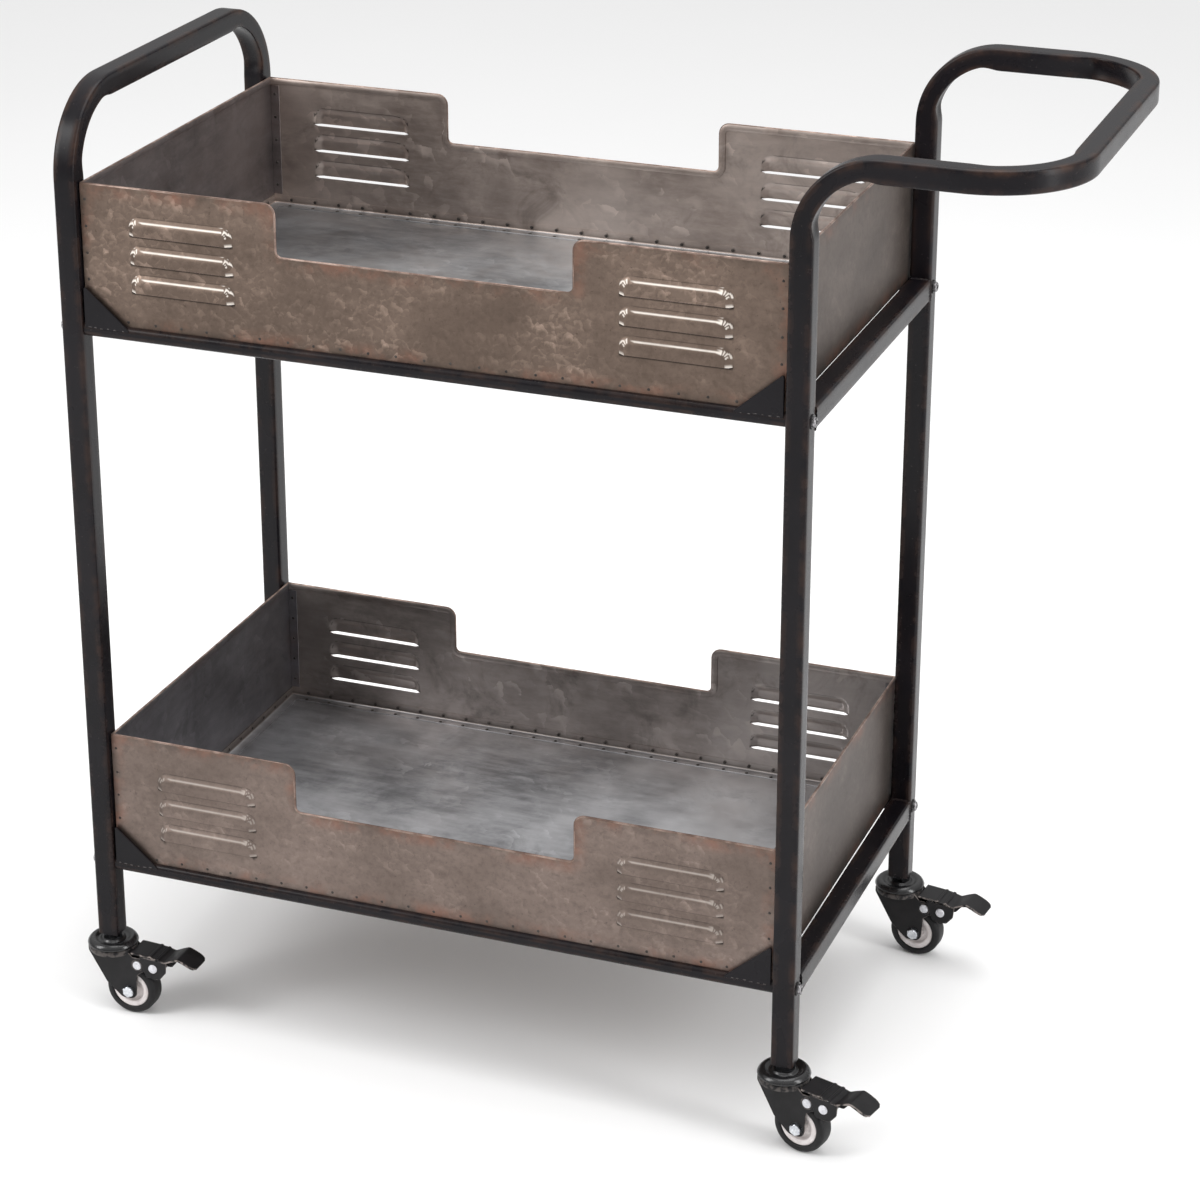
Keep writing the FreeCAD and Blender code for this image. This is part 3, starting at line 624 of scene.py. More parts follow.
def swept_tube(shape, points, radii, section, start_a, squash=0.0, open_ends=True):
    """Sweeps a section along a bent path, pushing the inner wall in at the bends."""
    size = len(section)
    axis_a = Vector(start_a)
    last_tangent = None
    verts, wear = [], []
    places = stations(points, radii)
    for point, tangent, inward, depth in places:
        if last_tangent is not None:
            axis_a.rotate(last_tangent.rotation_difference(tangent))
        last_tangent = tangent
        axis_b = tangent.cross(axis_a)
        for a, b, rub_and_sheen in section:
            offset = axis_a * a + axis_b * b
            if inward is not None and squash:
                share = offset.dot(inward) / HALF
                across = (offset - inward * offset.dot(inward)).length / HALF
                if share > 0:
                    offset -= inward * (squash * depth * share * (1.0 - 0.34 * across ** 2))
            verts.append(tuple(point + offset))
            wear.append(rub_and_sheen * (0.75 + 0.5 * depth))
    count = len(places)
    shape.add(verts, grid(count, size, loop_columns=True), wear=wear)
    for index, inner_way in ((0, 1), (count - 1, -1)):
        point, tangent = places[index][:2]
        ring = [Vector(v) for v in verts[index * size:(index + 1) * size]]
        cap = [tuple(v) for v in ring]
        if open_ends:
            inner = [point + (v - point) * (1 - TUBE_WALL / HALF) for v in ring]
            deep = [v + tangent * (OPEN_END_DEPTH * inner_way) for v in inner]
            cap += [tuple(v) for v in inner] + [tuple(v) for v in deep]
            cap_faces = grid(3, size, loop_columns=True)
        else:
            cap_faces = [list(range(size))]
        shape.add(cap, cap_faces, wear=[0.8] * len(cap), flip=inner_way == 1)


def bar_shape(shape, start, end, half_y, half_z, corner):
    """A straight tube whose ends butt against the legs."""
    start, end = Vector(start), Vector(end)
    direction = (end - start).normalized()
    side = Vector((0, 1, 0)) if abs(direction.x) > 0.5 else Vector((-1, 0, 0))
    swept_tube(shape, [start, end], [], tube_section(half_y, half_z, corner), side, open_ends=False)


def weld_ring(shape, centre, direction, half):
    """A small bead round a square tube where it meets a leg."""
    normal = Vector(direction)
    side = Vector((0, 0, 1)).cross(normal).normalized()
    section = tube_section(half, half, TUBE_CORNER, 4, 9)
    verts = []
    for index, (a, b, _) in enumerate(section):
        outward = (side * a + Vector((0, 0, b))).normalized()
        ripple = 1.0 + 0.28 * math.sin(index * 2.4)
        base = Vector(centre) + side * a + Vector((0, 0, b))
        for along, out in ((-0.05, 1.5 * ripple), (0.7, 1.0 * ripple), (1.6 * ripple, -0.05)):
            verts.append(tuple(base + outward * out * 0.8 + normal * along))
    shape.add(verts, grid(len(section), 3, loop_rows=True, turned=True), wear=[0.4] * len(verts))


def finish_tube(shape, piece, node):
    shape.finish(piece, "frame", [PAINT], "frame_paint", [node])


def make_bent_tube(piece, node, route, bends):
    tube = Shape()
    section = tube_section(HALF, HALF, TUBE_CORNER)
    swept_tube(tube, [Vector(place) for place in route], bends, section, (1, 0, 0), BEND_SQUASH)
    finish_tube(tube, piece, node)


def make_frame():
    near, far = HALF, DEPTH - HALF
    x, top = HALF, ARCH[1].z - HALF
    make_bent_tube("arch_tube", "left_arch_tube",
                   [(x, near, LEG_BOTTOM), (x, near, top), (x, far, top), (x, far, LEG_BOTTOM)],
                   [ARCH_BEND, ARCH_BEND])
    x, reach, top = LENGTH - HALF, HANDLE[1].x - HALF, HANDLE[1].z - HALF
    make_bent_tube("handle_tube", "right_handle_tube",
                   [(x, near, LEG_BOTTOM), (x, near, top), (reach, near, top), (reach, far, top),
                    (x, far, top), (x, far, LEG_BOTTOM)],
                   [HANDLE_BEND, HANDLE_CORNER_BEND, HANDLE_CORNER_BEND, HANDLE_BEND])

    for level in LEVELS:
        for side in ("left", "right"):
            node = level + "_" + side + "_side_rail"
            low, high = box_mm(node)
            x, z = (low.x + high.x) / 2, (low.z + high.z) / 2
            rail = Shape()
            bar_shape(rail, (x, low.y, z), (x, high.y, z), HALF, HALF, TUBE_CORNER)
            weld_ring(rail, (x, low.y, z), (0, 1, 0), HALF)
            weld_ring(rail, (x, high.y, z), (0, -1, 0), HALF)
            finish_tube(rail, node + "_tube", node)
        for side in ("front", "back"):
            node = level + "_" + side + "_rail"
            low, high = box_mm(node)
            y, z = (low.y + high.y) / 2, (low.z + high.z) / 2
            rail = Shape()
            bar_shape(rail, (low.x, y, z), (high.x, y, z), (high.y - low.y) / 2, (high.z - low.z) / 2,
                      RAIL_CORNER)
            finish_tube(rail, node + "_tube", node)
        make_brackets(level)


def mirror_move(mirror_x, mirror_y):
    def move(v):
        x = LENGTH - v[0] if mirror_x else v[0]
        y = DEPTH - v[1] if mirror_y else v[1]
        return (x, y, v[2])
    return move


def make_brackets(level):
    """Triangular corner plates with a row of tack welds along their seam."""
    low, high = box_mm(level + "_front_rail")
    front = low.y
    inner = TUBE + BRACKET_GAP
    seam = high.z - 4.0
    shape = Shape()
    outline = rounded_outline([(inner, seam, 0), (inner + BRACKET_LENGTH, seam, 0),
                               (inner + BRACKET_LENGTH, high.z - 2.2, 0.8),
                               (inner, high.z + BRACKET_HEIGHT, 1.5)], 4)
    for mirror_x in (False, True):
        for mirror_y in (False, True):
            move = mirror_move(mirror_x, mirror_y)
            flip = mirror_x != mirror_y
            plate(shape, outline, front - 0.2, front + 2.3, 0.4, 0, move, 0.35, flip)
            for k in range(TACKS):
                x = inner + 4.5 + TACK_PITCH * k + random.uniform(-1.4, 1.4)
                long = random.uniform(0.7, 1.7)
                lift = random.uniform(0.0, 0.9)
                dash = [(x - long, seam + 0.3 + lift), (x + long, seam + 0.2 + lift),
                        (x + long + 0.2, seam + 0.9 + lift), (x - long + 0.2, seam + 1.0 + lift)]
                plate(shape, [Vector(p) for p in dash], front - 0.45, front + 0.2, 0.12, 1, move, 0.0, flip)
    shape.finish(level + "_brackets", "frame", [PAINT, SEAM_WELD], "frame_paint",
                 [level + "_corner_brackets"])


# ---- trays ----

def arch_inside(x, z, left, slit):
    """How deep a point lies inside a louvre's arched outline, ignoring its open lower side."""
    radius = LOUVRE_HEIGHT * 0.6
    half = LOUVRE_LENGTH / 2
    across = abs(x - left - half)
    below = slit + LOUVRE_HEIGHT - z
    corner_x = across - (half - radius)
    corner_z = radius - below
    if corner_x > 0 and corner_z > 0:
        return radius - math.hypot(corner_x, corner_z)
    return min(half - across, below)


def hood_height(x, z, louvres):
    """How far the sheet stands out at a point because of the louvres."""
    for left, slit in louvres:
        if z < slit or z > slit + LOUVRE_HEIGHT or not left < x < left + LOUVRE_LENGTH:
            continue
        depth = max(0.0, min(1.0, arch_inside(x, z, left, slit) / SHOULDER))
        lean = 0.74 + 0.26 * (slit + LOUVRE_HEIGHT - z) / LOUVRE_HEIGHT
        return LOUVRE_REACH * lean * (0.7 * depth + 0.3 * depth * depth * (3 - 2 * depth))
    return 0.0


def press_marks(x, z, side, louvres):
    """A louvre's painted light at a point, outside and inside: painted highlight (+) or painted shade (-),
    and how far it's open.
    """
    for left, slit in louvres:
        right = left + LOUVRE_LENGTH
        # below a slit: painted shadow outside under the hood's lip, and a faint painted highlight on the
        # inside of that lip
        if side < 0 and abs(z - slit) < 0.01 and left + 0.3 < x < right - 0.3:
            ends = min(1.0, min(x - left, right - x) / 4.0)
            return -1.0, 0.3, SLIT_GAP * ends
        if side > 0 and slit - 0.01 <= z <= slit + LOUVRE_HEIGHT and left <= x <= right:
            depth = arch_inside(x, z, left, slit)
            if depth < 0:
                continue
            # on a hood: outside, a painted highlight band down the shoulder (partly a rub) and painted shade
            # along the outline; inside, painted shade in the crease
            rub_and_sheen = max(0.0, min(1.0, (depth - 0.2) / 0.6, (SHOULDER - depth) / 1.4))
            crease = max(0.0, 1.0 - abs(depth - 0.8) / 1.9)
            return rub_and_sheen if depth > 0.3 else -0.5, -crease, 0.0
    return 0.0, 0.0, 0.0


def louvre_contour(left, slit, inset):
    """Open arch from one end of the slit to the other, moved inwards."""
    radius = LOUVRE_HEIGHT * 0.6 - inset
    right, top = left + LOUVRE_LENGTH - inset, slit + LOUVRE_HEIGHT - inset
    start = left + inset
    points = [Vector((start, slit)), Vector((start, (slit + top - radius) / 2))]

    def add_corner(x, first):
        for k in range(9):
            turn = first - math.pi / 2 * k / 8
            points.append(Vector((x + radius * math.cos(turn), top - radius + radius * math.sin(turn))))

    add_corner(start + radius, math.pi)
    count = 16
    straight = right - start - 2 * radius
    points += [Vector((start + radius + straight * k / count, top)) for k in range(1, count)]
    add_corner(right - radius, math.pi / 2)
    points += [Vector((right, (slit + top - radius) / 2)), Vector((right, slit))]
    return points


def distance_to_outline(point, outline):
    nearest = 1e9
    for index, start in enumerate(outline):
        end = outline[(index + 1) % len(outline)]
        along = end - start
        share = max(0.0, min(1.0, (point - start).dot(along) / max(along.length_squared, 1e-9)))
        nearest = min(nearest, (start + along * share - point).length)
    return nearest


def add_louvre_points(points, edges, left, slit):
    """Contours down a louvre's curved shoulder, and rows of points along, below and above its slit."""
    # the first contour lies just outside the louvre
    for inset in (-0.9, 0.0, 0.6, 1.5, 2.7, 4.0, 5.2, SHOULDER):
        contour = louvre_contour(left, slit, inset)
        start = len(points)
        points += contour
        if inset == 0.0:
            edges += [(start + i, start + i + 1) for i in range(len(contour) - 1)]
            edges.append((start, start + len(contour) - 1))
    for first, pitch, counts, z in ((SHOULDER, 7.0, range(1, 13), slit),
                                    (0.0, 7.0, range(15), slit - SLIT_GAP - 1.7),
                                    (8.0, 7.5, range(12), slit + 6.0)):
        points += [Vector((left + first + k * pitch, z)) for k in counts]


def filling_points(low, high, louvres, notched):
    """Staggered rows of points over a sheet, clear of its louvres and its notch."""
    points = []
    middle = (low.x + high.x) / 2
    row = 0
    z = low.y + SHEET_STEP / 2
    while z < high.y - 3:
        x = low.x + SHEET_STEP / 2 + (row % 2) * SHEET_STEP / 2
        while x < high.x - 3:
            near_louvre = any(left - 3 < x < left + LOUVRE_LENGTH + 3
                              and slit - 6 < z < slit + LOUVRE_HEIGHT + 3 for left, slit in louvres)
            in_notch = notched and abs(x - middle) < NOTCH_WIDTH / 2 + 4 and z > high.y - NOTCH_DEPTH - 4
            if not near_louvre and not in_notch:
                points.append(Vector((x, z)))
            x += SHEET_STEP
        z += SHEET_STEP * 0.87
        row += 1
    return points


def open_slits(sheet, louvres):
    """Splits the sheet along each louvre's slit."""
    slits = []
    for edge in sheet.edges:
        a, b = edge.verts[0].co, edge.verts[1].co
        if len(edge.link_faces) == 2 and abs(a.z - b.z) < 1e-3 and any(
                abs(a.z - slit) < 1e-3 and left - 0.01 <= min(a.x, b.x)
                and max(a.x, b.x) <= left + LOUVRE_LENGTH + 0.01 for left, slit in louvres):
            slits.append(edge)
    bmesh.ops.split_edges(sheet, edges=slits)


def thickened(sheet):
    """Outside, inside and cut rim of a thin sheet: outer points, inner points, faces and slots."""
    def outward(face):
        ids = [v.index for v in face.verts]
        return ids[::-1] if face.normal.y > 0 else ids

    sheet.normal_update()
    sheet.verts.index_update()
    outer = [v.co.copy() for v in sheet.verts]
    inner = [v.co - (v.normal if v.normal.y < 0 else -v.normal) * SHEET for v in sheet.verts]
    size = len(outer)
    faces, slots = [], []
    for face in sheet.faces:
        ids = outward(face)
        faces += [ids, [i + size for i in reversed(ids)]]
        slots += [0, 1]
    for edge in sheet.edges:
        if len(edge.link_faces) == 1:
            ids = outward(edge.link_faces[0])
            a, b = edge.verts[0].index, edge.verts[1].index
            if ids[(ids.index(a) + 1) % len(ids)] != b:
                a, b = b, a
            faces.append([b, a, a + size, b + size])
            slots.append(2)
    return outer, inner, faces, slots


def pressed_sheet(corners, louvres, seed):
    """A wall sheet in (along, out, up) with pressed louvres: vertices, faces, slots, edge depths
    and marks. Out is negative towards the outside; slot 0 is outside, 1 inside and 2 the cut rim."""
    outline = rounded_outline(corners, 6, SHEET_SPACING)
    coarse = rounded_outline(corners, 3)
    low = Vector((min(p.x for p in outline), min(p.y for p in outline)))
    high = Vector((max(p.x for p in outline), max(p.y for p in outline)))
    points = list(outline)
    edges = [(i, (i + 1) % len(outline)) for i in range(len(outline))]
    for left, slit in louvres:
        add_louvre_points(points, edges, left, slit)
    points += filling_points(low, high, louvres, notched=bool(louvres))
    coords, _, triangles, *_ = delaunay_2d_cdt(points, edges, [], 1, 1e-4)
    sheet = bmesh.new()
    verts = [sheet.verts.new((p.x, 0.0, p.y)) for p in coords]
    for triangle in triangles:
        sheet.faces.new([verts[i] for i in triangle])
    open_slits(sheet, louvres)
    marks = []
    for v in sheet.verts:
        centres = [face.calc_center_median().z for face in v.link_faces]
        side = 0.01 if centres and sum(centres) / len(centres) > v.co.z else -0.01
        bulge = hood_height(v.co.x, v.co.z + side, louvres)
        marks.append(press_marks(v.co.x, v.co.z, side, louvres))
        wave = noise.noise(Vector((v.co.x * 0.011, v.co.z * 0.02, seed))) * WAVE
        wave += noise.noise(Vector((v.co.x * 0.04, v.co.z * 0.06, seed + 5))) * WAVE * 0.3
        rim = min(1.0, min(v.co.x - low.x, high.x - v.co.x, v.co.z - low.y) / 12.0)
        v.co.y = -bulge + max(0.0, rim) * (wave + WAVE * 0.6)
    for v, (_, _, drop) in zip(sheet.verts, marks):
        v.co.z -= drop
    outer, inner, faces, slots = thickened(sheet)
    sheet.free()
    depths = [min(30.0, distance_to_outline(Vector((v.x, v.z)), coarse)) for v in outer]
    wear = [outside for outside, _, _ in marks] + [inside for _, inside, _ in marks]
    return [tuple(v) for v in outer + inner], faces, slots, depths + depths, wear


def hem_strip(path, seed):
    """The folded top edge along an open (along, up) path, in (along, out, up)."""
    fold = [(1.1, -0.06), (0.35, 0.02), (-0.2, 0.45), (-0.38, 1.05), (-0.2, 1.65), (0.4, 2.1),
            (HEM - 0.5, 2.15), (HEM, 1.9), (HEM + 0.1, 0.95)]
    verts = []
    size = len(fold)
    for index, point in enumerate(path):
        along = (path[min(index + 1, len(path) - 1)] - path[max(index - 1, 0)]).normalized()
        into = Vector((along.y, -along.x))
        wobble = noise.noise(Vector((point.x * 0.05, point.y * 0.05, seed))) * 0.22
        for depth, out in fold:
            place = point + into * depth
            verts.append((place.x, out + WAVE * 0.3 + wobble * 0.5,
                          place.y + wobble * (0.5 if depth < 1 else 0.0)))
    slots = [2, 2, 2, 2, 2, 1, 1, 1] * (len(path) - 1)
    return verts, grid(len(path), size), slots, [max(0.5, depth) for depth, _ in fold] * len(path)


def spaced(start, end, pitch):
    count = max(1, round(abs(end - start) / pitch))
    return [start + (end - start) * k / count for k in range(count + 1)]


def add_wall(shape, corners, louvres, path, seed, move, flip):
    """A pressed wall sheet and the folded hem along its top."""
    verts, faces, slots, edge, marks = pressed_sheet(corners, louvres, seed)
    shape.add(verts, faces, slots, wear=marks, edge=edge, move=move, flip=flip)
    verts, faces, slots, edge = hem_strip(path, seed)
    shape.add(verts, faces, slots, edge=edge, move=move, flip=not flip)


def finish_tray_piece(shape, level, piece, materials, nodes=(), sharp=38.0):
    tray = level + "_tray"
    shape.finish(tray + "_" + piece, tray, materials, "galvanised_sheet",
                 [tray + "_" + node for node in nodes], sharp)


def long_wall_move(offset, mirrored):
    """Puts (along, out, up) on the front wall, or mirrored on the back wall."""
    def move(v):
        y = offset + v[1]
        return (v[0], DEPTH - y if mirrored else y, v[2])
    return move


def long_wall_welds(low, high, y, outward):
    """Spot welds outside along the foot and the ends, and inside on the floor's strip."""
    welds = Shape()
    for x in spaced(low.x + 16, high.x - 16, WELD_PITCH):
        place = (x + random.uniform(-1, 1), y + outward * -0.25, low.z + 4.2 + random.uniform(-0.3, 0.3))
        dome(welds, place, (0, outward, 0), 1.5, 0.42)
    for x in (low.x + 4.2, high.x - 4.2):
        for z in spaced(low.z + 16, high.z - 14, WELD_PITCH):
            dome(welds, (x, y + outward * -0.2, z + random.uniform(-1, 1)), (0, outward, 0), 1.4, 0.42)
    inward = -outward
    strip_y = y + inward * (2 * SHEET + 0.9)
    for x in spaced(low.x + 20, high.x - 20, WELD_PITCH):
        dome(welds, (x, strip_y, low.z + 6.4), (0, inward, 0), 1.6, 0.5)
        place = (x + random.uniform(-1, 1), strip_y + inward * 5.4, low.z + SHEET + 1.1)
        dome(welds, place, (0, 0, 1), 1.7, 0.55)
    return welds


def make_long_walls(level, low, high):
    base, top = low.z, high.z
    middle = (low.x + high.x) / 2
    left, right = middle - NOTCH_WIDTH / 2, middle + NOTCH_WIDTH / 2
    floor = top - NOTCH_DEPTH
    notch = [(left, top, NOTCH_TOP_RADIUS), (left, floor, NOTCH_FLOOR_RADIUS),
             (right, floor, NOTCH_FLOOR_RADIUS), (right, top, NOTCH_TOP_RADIUS)]
    corners = [(low.x, base, 0), (high.x, base, 0), (high.x, top, 2), *notch[::-1], (low.x, top, 2)]
    path = open_path([(low.x + 1.2, top, 0), *notch, (high.x - 1.2, top, 0)])
    starts = (low.x + LOUVRE_END_INSET, high.x - LOUVRE_END_INSET - LOUVRE_LENGTH)
    louvres = [(x, base + TOP_SLIT[level] - row * LOUVRE_PITCH) for x in starts for row in range(3)]
    seeds = {"lower": (21.0, 29.0), "upper": (1.0, 9.0)}[level]
    for side, seed in zip(("front", "back"), seeds):
        mirrored = side == "back"
        shape = Shape()
        add_wall(shape, corners, louvres, path, seed, long_wall_move(low.y, mirrored), mirrored)
        finish_tray_piece(shape, level, side + "_sheet", [OUTER[level], BACK_INNER[level], RIM],
                          [side + "_wall"])
        welds = long_wall_welds(low, high, DEPTH - low.y if mirrored else low.y, 1.0 if mirrored else -1.0)
        finish_tray_piece(welds, level, side + "_spot_welds", [SPOT])


def end_wall_move(x, way):
    """Puts (along, out, up) on an end wall that stands at x; way is the direction inwards."""
    def move(v):
        return (x + way * v[1], v[0], v[2])
    return move


def corner_lap_move(x, way, y, inward):
    """Puts a lap on the inside of an end wall, against the long wall at y."""
    def move(v):
        return (x + way * (1.05 + v[0]), y + inward * v[1], v[2])
    return move


def make_end_walls(level, top):
    seeds = {"lower": (13.0, 14.0), "upper": (3.0, 4.0)}[level]
    for side, seed, way in zip(("left", "right"), seeds, (1, -1)):
        low, high = box_mm(level + "_tray_" + side + "_end_wall")
        x = low.x if side == "left" else high.x
        corners = [(low.y, low.z, 0), (high.y, low.z, 0), (high.y, top, 0), (low.y, top, 0)]
        path = [Vector((y, top)) for y in spaced(low.y + 1.2, high.y - 1.2, SHEET_SPACING)]
        shape = Shape()
        add_wall(shape, corners, [], path, seed, end_wall_move(x, way), side == "left")
        lap_low, lap_high = low.z + 11, top - HEM - 1.5
        lap = rounded_outline([(0, lap_low, 0), (LAP, lap_low, 0), (LAP, lap_high, 0.5),
                               (0, lap_high, 0)], 2)
        for y, inward in ((low.y, 1), (high.y, -1)):
            move = corner_lap_move(x, way, y, inward)
            plate(shape, lap, 0.05, 0.95, 0.25, 1, move, 0.0, way * inward < 0)
        finish_tray_piece(shape, level, side + "_end_sheet", [OUTER_END[level], INNER[level], RIM],
                          [side + "_end_wall"])
        welds = Shape()
        for y, inward in ((low.y + 1.0, 1), (high.y - 1.0, -1)):
            for z in spaced(low.z + 20, top - 16, WELD_PITCH):
                dome(welds, (x + way * 5.5, y, z), (0, inward, 0), 1.4, 0.45)
        for y in spaced(low.y + 18, high.y - 18, WELD_PITCH):
            dome(welds, (x + way * (2 * SHEET + 0.9), y, low.z + 6.4), (way, 0, 0), 1.5, 0.45)
        finish_tray_piece(welds, level, side + "_end_spot_welds", [SPOT])


def add_floor_panel(shape, low, high):
    """The slightly wavy floor sheet, top and underside."""
    nx, ny = FLOOR_CELLS
    verts, edge = [], []
    for j in range(ny + 1):
        for i in range(nx + 1):
            x = low.x + (high.x - low.x) * i / nx
            y = low.y + (high.y - low.y) * j / ny
            rim = min(x - low.x, high.x - x, y - low.y, high.y - y)
            wave = noise.noise(Vector((x * 0.009, y * 0.012, 3.1))) * 0.9
            wave += noise.noise(Vector((x * 0.03, y * 0.035, 8.2))) * 0.3
            verts.append((x, y, low.z + SHEET + 0.35 + min(1.0, rim / 40.0) * wave * 0.6))
            edge.append(min(30.0, rim))
    faces = grid(ny + 1, nx + 1)
    shape.add(verts, faces, edge=edge)
    shape.add([(x, y, z - SHEET) for x, y, z in verts], faces, 1, edge=edge, flip=True)


def add_floor_strip(shape, start, end, inward, base):
    """One side's turned-up edge and the strip on the floor: an L with a rounded fold."""
    fold = [(0.1, base + SHEET + LAP), (1.0, base + SHEET + LAP), (1.05, base + 4.0), (1.5, base + 2.7),
            (2.6, base + 2.15), (LAP + 1.0, base + 1.95), (LAP + 1.3, base + 1.3)]
    # painted shade along the turned-up edge's top, in the fold's corner and at the strip's lip, and a
    # painted highlight on the fold's rounding
    fold_shading = [-0.7, 0.1, -0.5, 0.0, 0.35, 0.0, -0.8]
    fold_slots = [2, 2, 2, 0, 0, 0]
    start, end, inward = Vector(start), Vector(end), Vector(inward)
    count = max(2, round((end - start).length / 12.0))
    strip = []
    for k in range(count + 1):
        point = start.lerp(end, k / count)
        wobble = noise.noise(Vector((point.x * 0.06, point.y * 0.06, 2.0))) * 0.15
        for depth, z in fold:
            place = point + inward * (depth + wobble * (depth > 2))
            strip.append((place.x, place.y, z + wobble * 0.6))
    shape.add(strip, grid(count + 1, len(fold)), fold_slots * count, wear=fold_shading * (count + 1),
              edge=[8.0] * len(strip), flip=True)


def make_tray_floor(level):
    low, high = box_mm(level + "_tray_floor")
    shape = Shape()
    add_floor_panel(shape, low, high)
    for start, end, inward in (
            ((low.x + 1, low.y), (high.x - 1, low.y), (0, 1)),
            ((high.x - 1, high.y), (low.x + 1, high.y), (0, -1)),
            ((low.x, high.y - 1), (low.x, low.y + 1), (1, 0)),
            ((high.x, low.y + 1), (high.x, high.y - 1), (-1, 0))):
        add_floor_strip(shape, start, end, inward, low.z)
    finish_tray_piece(shape, level, "floor_sheet", [FLOOR[level], OUTER[level], BACK_INNER[level]],
                      ["floor"], sharp=50.0)


def make_trays():
    for level in LEVELS:
        low, high = box_mm(level + "_tray_front_wall")
        low.y += LOUVRE_REACH
        make_long_walls(level, low, high)
        make_end_walls(level, high.z)
        make_tray_floor(level)


# ---- casters ----

def caster_move(corner):
    """From the caster's own axes, with its wheel towards +X, to its place under a leg."""
    axis = JOINTS[corner + "_wheel_spin"]["axis"]
    turn = math.atan2(-axis[0], axis[1])
    c, s = math.cos(turn), math.sin(turn)
    x0, y0 = LEGS[corner]

    def move(v):
        return (x0 + v[0] * c - v[1] * s, y0 + v[0] * s + v[1] * c, v[2])
    return move


def make_caps():
    """Caps between the legs and the casters: a step up to the stem and a grooved round rim."""
    shape = Shape()
    rim = CAP_RADIUS - 0.1
    profile = [(STEM_RADIUS + out, CAP_TOP - down)
               for out, down in ((0.1, 0.2), (4.6, 0.2), (5.4, 0.6), (6.2, 1.9), (7.6, 2.8))]
    profile += [(rim - back, CAP_TOP - down)
                for back, down in ((9.6, 2.5), (8.2, 1.4), (6.8, 0.4), (5.2, 0.02), (3.6, 0.4), (2.2, 1.3),
                                   (1.0, 2.6), (0.25, 4.0))]
    profile += [(rim - back, CAP_BOTTOM + up)
                for back, up in ((0.0, 0.6), (0.2, 0.15), (1.0, 0.05), (1.2, 1.6))]
    profile.append((STEM_RADIUS + 0.1, CAP_BOTTOM + 1.8))
    for x, y in LEGS.values():
        lathe(shape, profile, (x, y, 0), "Z", 64)
    shape.finish("swivel_caps", "frame", [BLACK_GLOSS], "caster_black", ["bearing_caps"], sharp=50.0)


def fork_outline():
    return rounded_outline([
        (-20.4, FORK_TOP - 1.2, 0.8), (-20.4, 61.0, 5.0), (-3.0, 31.0, 9.0), (12.5, 17.3, 7.5),
        (27.5, 17.3, 7.5), (29.2, 43.0, 3.0), (35.0, 47.8, 3.0), (54.0, 47.8, 6.0), (54.0, 61.2, 5.0),
        (25.0, 61.2, 1.5), (19.5, FORK_TOP - 1.2, 1.0)], 6)


def make_fork(corner):
    move = caster_move(corner)
    shape = Shape()
    outline = fork_outline()
    for y_low in (-FORK_INNER - FORK_PLATE, FORK_INNER):
        plate(shape, outline, y_low, y_low + FORK_PLATE, 0.45, 0, move)
        # pressed boss rings round the rivets
        sign = -1 if y_low < 0 else 1
        face = sign * (FORK_INNER + FORK_PLATE)
        for (x, z), radius in ((LEAF_RIVET, 6.0), (PEDAL_PIVOT, 6.4)):
            ring = [(radius, 0.0), (radius - 0.3, sign * 0.3), (radius - 1.0, sign * 0.42),
                    (radius - 1.5, 0.0)]
            lathe(shape, ring, (x, face, z), "Y", 32, move)
    dish = [(STEM_RADIUS + 0.3, FORK_TOP)]
    dish += [(FORK_SHOULDER - back, FORK_TOP - down)
             for back, down in ((2.2, 0.0), (0.9, 0.35), (0.2, 1.2), (0.0, 2.6), (0.5, 5.2), (1.6, 5.4),
                                (1.9, 2.6))]
    dish.append((STEM_RADIUS + 0.3, FORK_TOP - 2.5))
    lathe(shape, dish, (0, 0, 0), "Z", 56, move)
    web = rounded_outline([(-19.9, FORK_TOP - 2.0, 0.5), (-19.9, 61.0, 2.0), (-12.8, 48.5, 0.5),
                           (-11.0, 48.5, 0.5), (-18.0, 61.0, 2.0), (-18.0, FORK_TOP - 2.0, 0.5)], 2)
    plate(shape, web, -FORK_INNER - 0.2, FORK_INNER + 0.2, 0.3, 0, move)
    shape.finish(corner + "_fork_plates", corner + "_fork", [BLACK_FORK], "caster_black", [corner + "_fork"])


def make_fasteners(corner):
    move = caster_move(corner)
    body = corner + "_fork"
    outer = FORK_INNER + FORK_PLATE
    axle = (TRAIL, 0, WHEEL_RADIUS)
    rivets = Shape()
    for (x, z), seat in ((LEAF_RIVET, outer), (PEDAL_PIVOT, PEDAL_HALF_WIDTH + 0.06)):
        for sign in (-1, 1):
            head = [(0.02, sign * 1.3), (3.2, sign * 1.28), (3.9, sign * 1.05), (4.3, sign * 0.6),
                    (4.4, 0.0), (2.5, 0.0)]
            lathe(rivets, head[::sign], (x, sign * seat, z), "Y", 36, move)
        lathe(rivets, [(2.5, -seat), (2.5, seat)], (x, 0, z), "Y", 24, move)
    rivets.finish(corner + "_rivets", body, [RIVET_FACE], "zinc_steel", [corner + "_fork_rivets"],
                  sharp=50.0)
    bolt = Shape()
    hex_rod(bolt, 10.0, (TRAIL, -outer, WHEEL_RADIUS), -1, 3.6, 0.7, move)
    lathe(bolt, [(5.9, -outer), (5.9, -outer - 0.75)], axle, "Y", 36, move)
    lathe(bolt, [(3.0, -outer), (3.0, outer + 6.2), (2.4, outer + 6.5), (0.02, outer + 6.5)],
          axle, "Y", 24, move)
    bolt.finish(corner + "_axle", body, [ZINC], "zinc_steel", [corner + "_axle_bolt"])
    nut = Shape()
    hex_rod(nut, 10.0, (TRAIL, outer, WHEEL_RADIUS), 1, 5.0, 0.7, move)
    nut.finish(corner + "_axle_lock_nut", body, [ZINC], "zinc_steel", [corner + "_axle_nut"])


